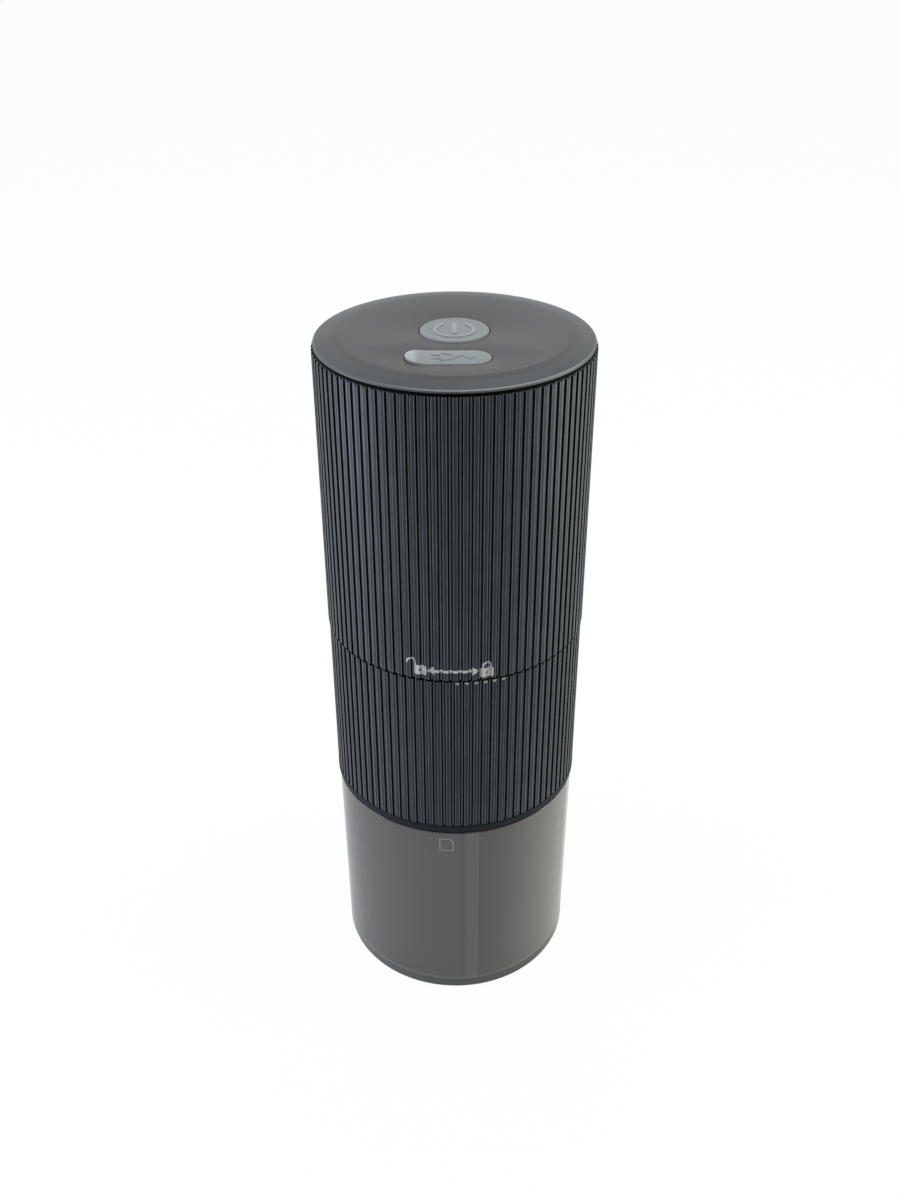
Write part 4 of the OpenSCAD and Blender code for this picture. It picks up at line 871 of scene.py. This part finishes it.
def cap():
    """The cap: a flat top with a swept bevel, its holes, the cover's recess and a snap skirt."""
    s = Shell()
    sweep, rim_round = 6.6, 0.5
    drop = TOP - rim_round - RIM_Z
    skin = [(FLAT_R - 0.6, TOP), (FLAT_R - 0.25, TOP - 0.003)]
    for i in range(1, 17):
        t = i / 16
        skin.append((FLAT_R + sweep * t, TOP - drop * (0.55 * t + 0.45 * t * t)))
    skin += bend(CAP_R - rim_round, RIM_Z, rim_round, 80, 0)
    skin += [(CAP_R, UPPER_TOP + 0.08), (CAP_R - 0.12, UPPER_TOP), (SKIRT_R, UPPER_TOP),
             (SKIRT_R, SKIRT_Z + 0.2), (SKIRT_R - 0.2, SKIRT_Z), (SKIRT_IN, SKIRT_Z),
             (SKIRT_IN, SKIRT_Z + 3.5), (SKIRT_IN - 1.5, UNDER_Z)]
    top = s.rise((circle(0, 0, r, 256), z) for r, z in skin)
    eased = ((0.22, TOP), (0.12, TOP - 0.03), (0.03, TOP - 0.12), (0, TOP - 0.25))
    hole = s.rise((circle(0, BUTTON_Y, BUTTON_HOLE + grow, 96), z) for grow, z in (*eased, (0, UNDER_Z)))
    left, right, width = COVER_LEFT - COVER_GAP, COVER_RIGHT + COVER_GAP, COVER_W + 2 * COVER_GAP
    edge = s.rise((pill(left, right, PORT_Y, width, grow), z) for grow, z in (*eased, (0, RECESS_Z)))
    port = pill(PORT_X - PORT_HALF, PORT_X + PORT_HALF, PORT_Y, PORT_W)
    slot, stem = (s.rise([(hole_outline, RECESS_Z), (hole_outline, UNDER_Z)])
                  for hole_outline in (port, circle(STEM_X, PORT_Y, STEM_HOLE, 24)))
    s.plate(top[0], hole[0], edge[0])
    s.plate(edge[-1], slot[0], stem[0])
    s.plate(top[-1], hole[-1], slot[1], stem[1])
    for post in evenly(3, 90, round_at(CAP_POST_RING, CAP_POST_R, 32)):
        s.block(post, CAP_POST_LOW, CAP_POST_HIGH)
    for snap in evenly(4, 45, arc_at(UPPER_IN + 0.35, SKIRT_IN + 0.5, 6)):
        s.block(snap, SNAP_Z, SNAP_Z + SNAP_H)
    return s.done("satin_top_cap", 32)


settle(cap(), "cap", "motor_unit", "cap_plastic", "top_cap")


def power_symbol(shell, surface):
    """Raised ring, open at the back, with an upright bar; part of the button's moulding."""
    gap, radius, middle, steps = radians(38), 5.1, BUTTON_Y - 0.4, 40
    turns = [gap + (TAU - 2 * gap) * i / steps for i in range(steps + 1)]
    ring = [(radius * sin(a), radius * cos(a) + middle) for a in turns]
    upright = [(0, BUTTON_Y - 2.7 + 6.2 * i / 6) for i in range(7)]
    for line, width, height in ((ring, 0.95, 0.24), (upright, 1.6, 0.2)):
        shell.block(band(line, width), surface - 0.3, surface + height, 0.14)


def button():
    """Soft button: a flange under the cap, a rounded edge, a shallow raised rim and the power symbol."""
    s = Shell()
    low, high = BUTTON_LOW, BUTTON_TOP
    flange_r, flange_h, wall_r, soft = 10.45, 0.9, 9.15, 0.55
    skin = [(flange_r - 0.15, low), (flange_r, low + 0.15), (flange_r, low + flange_h - 0.15),
            (flange_r - 0.15, low + flange_h), (wall_r + 0.2, low + flange_h),
            (wall_r, low + flange_h + 0.2), (wall_r, high - soft)]
    skin += bend(wall_r - soft, high - soft, soft, 0, 90)
    skin += [(r, high - drop)
             for r, drop in ((8.1, 0.01), (7.7, 0.1), (7.3, 0.15), (5.0, 0.12), (2.0, 0.1))]
    s.capped([s.ring(circle(0, BUTTON_Y, r, 128), z) for r, z in skin])
    power_symbol(s, high - 0.11)
    return s.done("soft_power_button", 40)


settle(button(), "silicone", "button", "silicone_grey", "power_button")


def cover_lift(x):
    """How far the cover's free end curls up at a place along it."""
    t = max(0.0, min(1.0, (-6.6 - x) / 5.8))
    return 0.6 * t * t * (3 - 2 * t)


def cover_places(r):
    """Places along the cover where its section is drawn, closer at its round ends and its hinge."""
    ends = [r * (1 - cos(pi / 2 * i / 14)) for i in range(1, 15)]
    near_hinge = HINGE_X - 0.6
    places = [COVER_LEFT + end for end in ends]
    places += [COVER_LEFT + r + (near_hinge - COVER_LEFT - r) * i / 20 for i in range(1, 20)]
    places += [near_hinge + 0.1 * i for i in range(13)]
    places = [round(place, 4) for place in places]
    return places + [COVER_RIGHT - end for end in reversed(ends) if COVER_RIGHT - end > places[-1] + 0.04]


def cover_section(x, r, top):
    """Outline of the cover across one place along it."""
    near = min(x - COVER_LEFT, COVER_RIGHT - x)
    half = max(sqrt(max(r * r - max(r - near, 0.0) ** 2, 0.0)), 0.25)
    end, lift = max(0.0, 1 - near / 0.5), cover_lift(x)
    groove = 0.3 * exp(-((x - HINGE_X) / 0.28) ** 2)
    high = top + lift - 0.16 * end * end
    low = top - COVER_THICK + lift + 0.1 * end * end + groove + 0.35 * min(1, lift / 0.5)
    soft, foot = min(0.28, half * 0.45), 0.12
    line = [(-half, low + foot), (-half, high - soft)]
    for k in range(1, 5):
        a = pi / 2 * k / 4
        line.append((-half + soft * (1 - cos(a)), high - soft + soft * sin(a)))
    line += [(-y, z) for y, z in line[:0:-1]] + [(half, low + foot), (half - foot, low), (foot - half, low)]
    return [(x, PORT_Y + y, z) for y, z in line]


def plug_sign(shell, surface):
    """Raised sign of a plug with its two prongs and its cable; part of the cover's moulding."""
    back, half = -3.4, 2.2
    prongs = [[(x, PORT_Y + side * 1.15) for x in (-5.6, -4.7, -3.7)] for side in (-1, 1)]
    plug = [(back, PORT_Y - half), (back, PORT_Y), (back, PORT_Y + half)]
    turns = [pi / 2 * (1 - i / 8) for i in range(17)]
    bow = [(back + 3.6 * cos(a), PORT_Y + half * sin(a)) for a in turns]
    cable = [(0.6 + 4.1 * i / 20, PORT_Y + 0.9 * sin(TAU * (i / 20) * 0.95) * min(1, i / 4))
             for i in range(21)]
    for line in (*prongs, plug, bow, cable):
        shell.block(band(line, 0.55), surface - 0.15, surface + 0.16, 0.08)


def port_cover():
    """One silicone moulding: fixed end with its barbed stem, a thin living hinge, the flap, its plug and
    the curled finger tab, with a raised plug-and-cable sign."""
    s = Shell()
    r, top = COVER_W / 2, TOP + COVER_RISE
    under = top - COVER_THICK + 0.1
    s.capped([s.loop(cover_section(x, r, top)) for x in cover_places(r)])
    s.block(pill(PORT_X - PLUG_HALF, PORT_X + PLUG_HALF, PORT_Y, PLUG_W), PLUG_LOW, under)
    s.block(circle(STEM_X, PORT_Y, STEM_R, 24), STEM_LOW, under)
    s.block(circle(STEM_X, PORT_Y, BARB_R, 24), STEM_LOW, STEM_LOW + 1.5, 0.3)
    plug_sign(s, top + 0.02)
    return s.done("silicone_port_cover", 40)


cover = port_cover()
dress(cover, "silicone")
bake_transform(cover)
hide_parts("usb_cover", "cover_anchor")


# -------- burr spring

def coil(name, radius, wire, turns, low, high):
    """Closed round wire wound upwards around Z, its ends capped flat."""
    s = Shell()
    steps, sides = turns * 28, 12
    rings = []
    for i in range(steps + 1):
        a, z = TAU * turns * i / steps, low + (high - low) * i / steps
        rings.append(s.loop((*polar(out, a), up) for out, up in circle(radius, z, wire, sides)))
    s.capped(rings)
    return s.done(name, 60)


spring_low, spring_high = (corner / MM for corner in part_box("burr_spring"))
spring = coil("wound_burr_spring", spring_high.x - SPRING_WIRE, SPRING_WIRE, SPRING_TURNS,
              spring_low.z + SPRING_WIRE, spring_high.z - SPRING_WIRE)
dress(spring, "steel")
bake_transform(spring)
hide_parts("burr_spring")


# -------- printed marks, and painted highlights on the lower crests

def skin_radius(turn, crest_r):
    """Radius of the ribbed skin at a turn in radians from the middle of a crest."""
    pitch = TAU / RIBS
    off = abs((turn + pitch / 2) % pitch - pitch / 2)
    crest, foot = pitch * CREST_SHARE / 2, pitch * (1 - FLOOR_SHARE) / 2
    down = min(1.0, max(0.0, (off - crest) / (foot - crest)))
    corner = max(0.0, 1 - abs(off - crest) / (0.1 / crest_r))
    return crest_r - RIB_DEPTH * down - 0.035 * corner


def cut(shape, line, above):
    """The part of a convex shape on one side of an upright line."""
    made = []
    for first, second in zip(shape, shape[1:] + shape[:1]):
        inside = (first[0] >= line) if above else (first[0] <= line)
        after = (second[0] >= line) if above else (second[0] <= line)
        if inside:
            made.append(first)
        if inside != after:
            t = (line - first[0]) / (second[0] - first[0])
            made.append((line, first[1] + t * (second[1] - first[1])))
    return made


def printed(name, shapes, radius_at, crest_r, finish, body, slot_name, film=0.022, step=0.11):
    """Thin film that follows the skin, for print and for painted highlights: convex shapes in (length round
    the skin, height).
    """
    mesh = bmesh.new()
    for shape in shapes:
        low, high = min(p[0] for p in shape), max(p[0] for p in shape)
        count = max(1, ceil((high - low) / step))
        for i in range(count):
            left, right = low + (high - low) * i / count, low + (high - low) * (i + 1) / count
            kept = []
            for point in cut(cut(shape, left, True), right, False):
                if not kept or dist(point, kept[-1]) > SAME_POINT:
                    kept.append(point)
            if len(kept) > 2 and dist(kept[0], kept[-1]) < SAME_POINT:
                kept.pop()
            if len(kept) < 3:
                continue
            rows = []
            for lift in (-0.05, film):
                row = []
                for arc, z in kept:
                    turn = arc / crest_r
                    r = radius_at(turn, z) + lift
                    row.append(mesh.verts.new((r * MM * sin(turn), -r * MM * cos(turn), z * MM)))
                rows.append(row)
            mesh.faces.new(rows[1])
            mesh.faces.new(rows[0][::-1])
            for k in range(len(kept)):
                n = (k + 1) % len(kept)
                mesh.faces.new([rows[0][k], rows[0][n], rows[1][n], rows[1][k]])
    settle(outward(name, mesh), finish, body, slot_name)


def bar(x0, z0, x1, z1):
    return [(x0, z0), (x1, z0), (x1, z1), (x0, z1)]


def arc_band(x, z, radius, width, a0, a1, steps=14):
    """Convex pieces of a ring, from one angle to another."""
    made = []
    for i in range(steps):
        p, q = (radians(a0 + (a1 - a0) * k / steps) for k in (i, i + 1))
        inner, outer = radius - width / 2, radius + width / 2
        made.append([polar(r, a, x, z) for r, a in ((inner, p), (outer, p), (outer, q), (inner, q))])
    return made


def padlock_body(x, z, width, height, hole=0.42):
    """Body of a padlock with its keyhole left open."""
    outline = fillet(bar(x - width / 2, z - height / 2, x + width / 2, z + height / 2), 0.45, 3)
    made = []
    for first, second in zip(outline, outline[1:] + outline[:1]):
        inner = []
        for p in (second, first):
            away = (Vector(p) - Vector((x, z))).normalized() * hole
            inner.append((x + away.x, z + away.y))
        made.append([first, second, inner[0], inner[1]])
    return made


def lock_marks():
    """Closed and open padlock with a double arrow between them; heights are above the unit's foot."""
    shut, unlocked, left, right = (radians(turn) * BODY_R for turn in (13.1, -14.9, -12.0, 9.9))
    z, line = UPPER_Z, 0.42
    shapes = padlock_body(shut, z + 2.55, 3.7, 3.0)
    shapes += arc_band(shut, z + 4.6, 1.15, 0.5, 0, 180)
    shapes += [bar(leg - 0.25, z + 3.9, leg + 0.25, z + 4.6) for leg in (shut - 1.15, shut + 1.15)]
    shapes += padlock_body(unlocked, z + 3.2, 3.5, 3.0)
    bow = unlocked - 2.6
    shapes += arc_band(bow, z + 5.35, 1.2, 0.5, -10, 190)
    shapes += [bar(bow + 0.95, z + 4.3, bow + 1.45, z + 5.2)]
    mid, head, spread = z + 3.3, 2.0, 1.4
    shapes += [bar(left + 1.6, mid - line, right - 1.6, mid + line)]
    shapes += [[(left, mid), (left + head, mid - spread), (left + head, mid + spread)],
               [(right, mid), (right - head, mid + spread), (right - head, mid - spread)]]
    return shapes


def crest_end_highlights():
    """Painted highlights on the top ends of the lower ribs: half-moons along their top edge, one on each of
    six crests.
    """
    made = []
    for rib in range(6):
        centre = (BASE_TURN + rib * TAU / RIBS) * BASE_R
        turns = [pi + pi * k / 10 for k in range(11)]
        made.append([(centre + 0.6 * cos(a), LOWER_TOP - 0.26 + 0.78 * sin(a)) for a in turns])
    return made


def window_mark():
    """Thin square outline with one cut corner, printed on the cup."""
    radius, low, high, w, slant = 36.7, 60.5, 65.3, 0.26, 0.9
    left, right = (radians(turn) * radius for turn in (-7.7, -1.15))
    return [bar(left, low, right, low + w), bar(left, low + w, left + w, high),
            bar(left + w, high - w, right - slant, high), bar(right - w, low + w, right, high - slant),
            [(right - slant - w, high), (right - slant - w, high - w), (right - w, high - slant - w),
             (right, high - slant), (right - slant, high)]]


printed("printed_lock_marks", lock_marks(), lambda turn, z: skin_radius(turn, BODY_R),
        BODY_R, "ink", "motor_unit", "silicone_grey")
# Painted highlights: light half-moons on six crests under the seam, in grey ink
printed("printed_alignment_marks", crest_end_highlights(), lambda turn, z: skin_radius(turn - BASE_TURN, BASE_R),
        BASE_R, "cup_ink", "grinder", "silicone_grey")
printed("printed_window_mark", window_mark(),
        lambda turn, z: CUP_FOOT_R + (CUP_SHOULDER_R - CUP_FOOT_R) * z / CUP_SHOULDER_Z,
        CUP_SHOULDER_R, "cup_ink", "cup", "silicone_grey", 0.02, 0.4)


# -------- camera, floor and light

EYE, LENS_MM, SENSOR_MM = (-0.000731, -0.31032, 0.320385), 37.131, 36
LOOK_DOWN, LOOK_ASIDE, ROLL = 0.5595, -0.0025, -0.005


def camera():
    level, aside = cos(LOOK_DOWN), sin(LOOK_ASIDE)
    ahead = Vector((aside * level, cos(LOOK_ASIDE) * level, -sin(LOOK_DOWN)))
    right = Vector((cos(LOOK_ASIDE), -aside, 0))
    up = right.cross(ahead)
    side = right * cos(ROLL) + up * sin(ROLL)
    over = up * cos(ROLL) - right * sin(ROLL)
    lens = bpy.data.cameras.new("camera")
    lens.sensor_fit = "AUTO"
    lens.sensor_width = SENSOR_MM
    lens.lens = LENS_MM
    lens.clip_start = 0.01
    eye = linked("camera", lens)
    turn = Matrix((side, over, -ahead)).transposed().to_4x4()
    eye.matrix_world = Matrix.Translation(EYE) @ turn
    bpy.context.scene.camera = eye


camera()


def softbox(name, place, aim, width, height, power, colour):
    """A lamp that lights the piece and shows in its gloss, but that the camera doesn't see."""
    lamp = bpy.data.lights.new(name, "AREA")
    lamp.shape = "RECTANGLE"
    lamp.size, lamp.size_y = width, height
    lamp.energy = power
    lamp.color = colour
    lit = linked(name, lamp)
    away = Vector(place) - Vector(aim)
    lit.matrix_world = Matrix.Translation(place) @ away.to_track_quat("Z", "Y").to_matrix().to_4x4()
    lit.visible_camera = False
    lit.visible_transmission = False


softbox("backdrop", (0, 0.95, 0.48), (0, 0, 0.4), 2.4, 0.96, 6.0, (1.0, 1.0, 0.985))
softbox("box_left", (-0.62, -0.1, 0.22), (0, 0, 0.12), 0.4, 0.44, 3.0, (0.9, 0.96, 1.1))
softbox("box_right", (0.66, 0.02, 0.22), (0, 0, 0.12), 0.36, 0.44, 3.0, (0.97, 1.03, 0.96))
softbox("box_top", (0.0, -0.05, 1.0), (0, 0, 0.2), 0.8, 0.8, 3.6, (1, 1, 1))


def room():
    """White all round for the camera and in glass and metal, softer as light on the object."""
    world = bpy.data.worlds.new("room")
    bpy.context.scene.world = world
    world.use_nodes = True
    t = Tree(world.node_tree, "ShaderNodeOutputWorld")
    rays = t.node("LightPath", output="Is Camera Ray")
    rays = rays.do("MAXIMUM", rays.of("Is Transmission Ray"))
    seen = t.node("Background", {"Color": (1, 1, 1), "Strength": 1.0})
    light = t.node("Background", {"Color": (0.95, 0.98, 1.0), "Strength": 0.42})
    t.show(t.node("MixShader", [rays, light, seen]))


room()


def floor():
    """Plain pale floor, near white to the camera, that still takes a soft shadow."""
    s = bmesh.new()
    bmesh.ops.create_circle(s, cap_ends=True, segments=96, radius=3.0)
    data = bpy.data.meshes.new("floor")
    s.to_mesh(data)
    s.free()
    ground = linked("floor", data)
    ground.location = (0, 0, -0.0003)
    f = Finish("pale_floor")
    dull = f.node("BsdfDiffuse", {"Color": (0.85, 0.85, 0.85)})
    glow = f.node("Emission", {"Color": (1, 1, 1), "Strength": 1.0})
    rays = f.node("LightPath", output="Is Camera Ray")
    data.materials.append(f.shown(f.node("MixShader", [rays * 0.96, dull, glow])))


floor()

bpy.context.scene.view_settings.view_transform = "Standard"
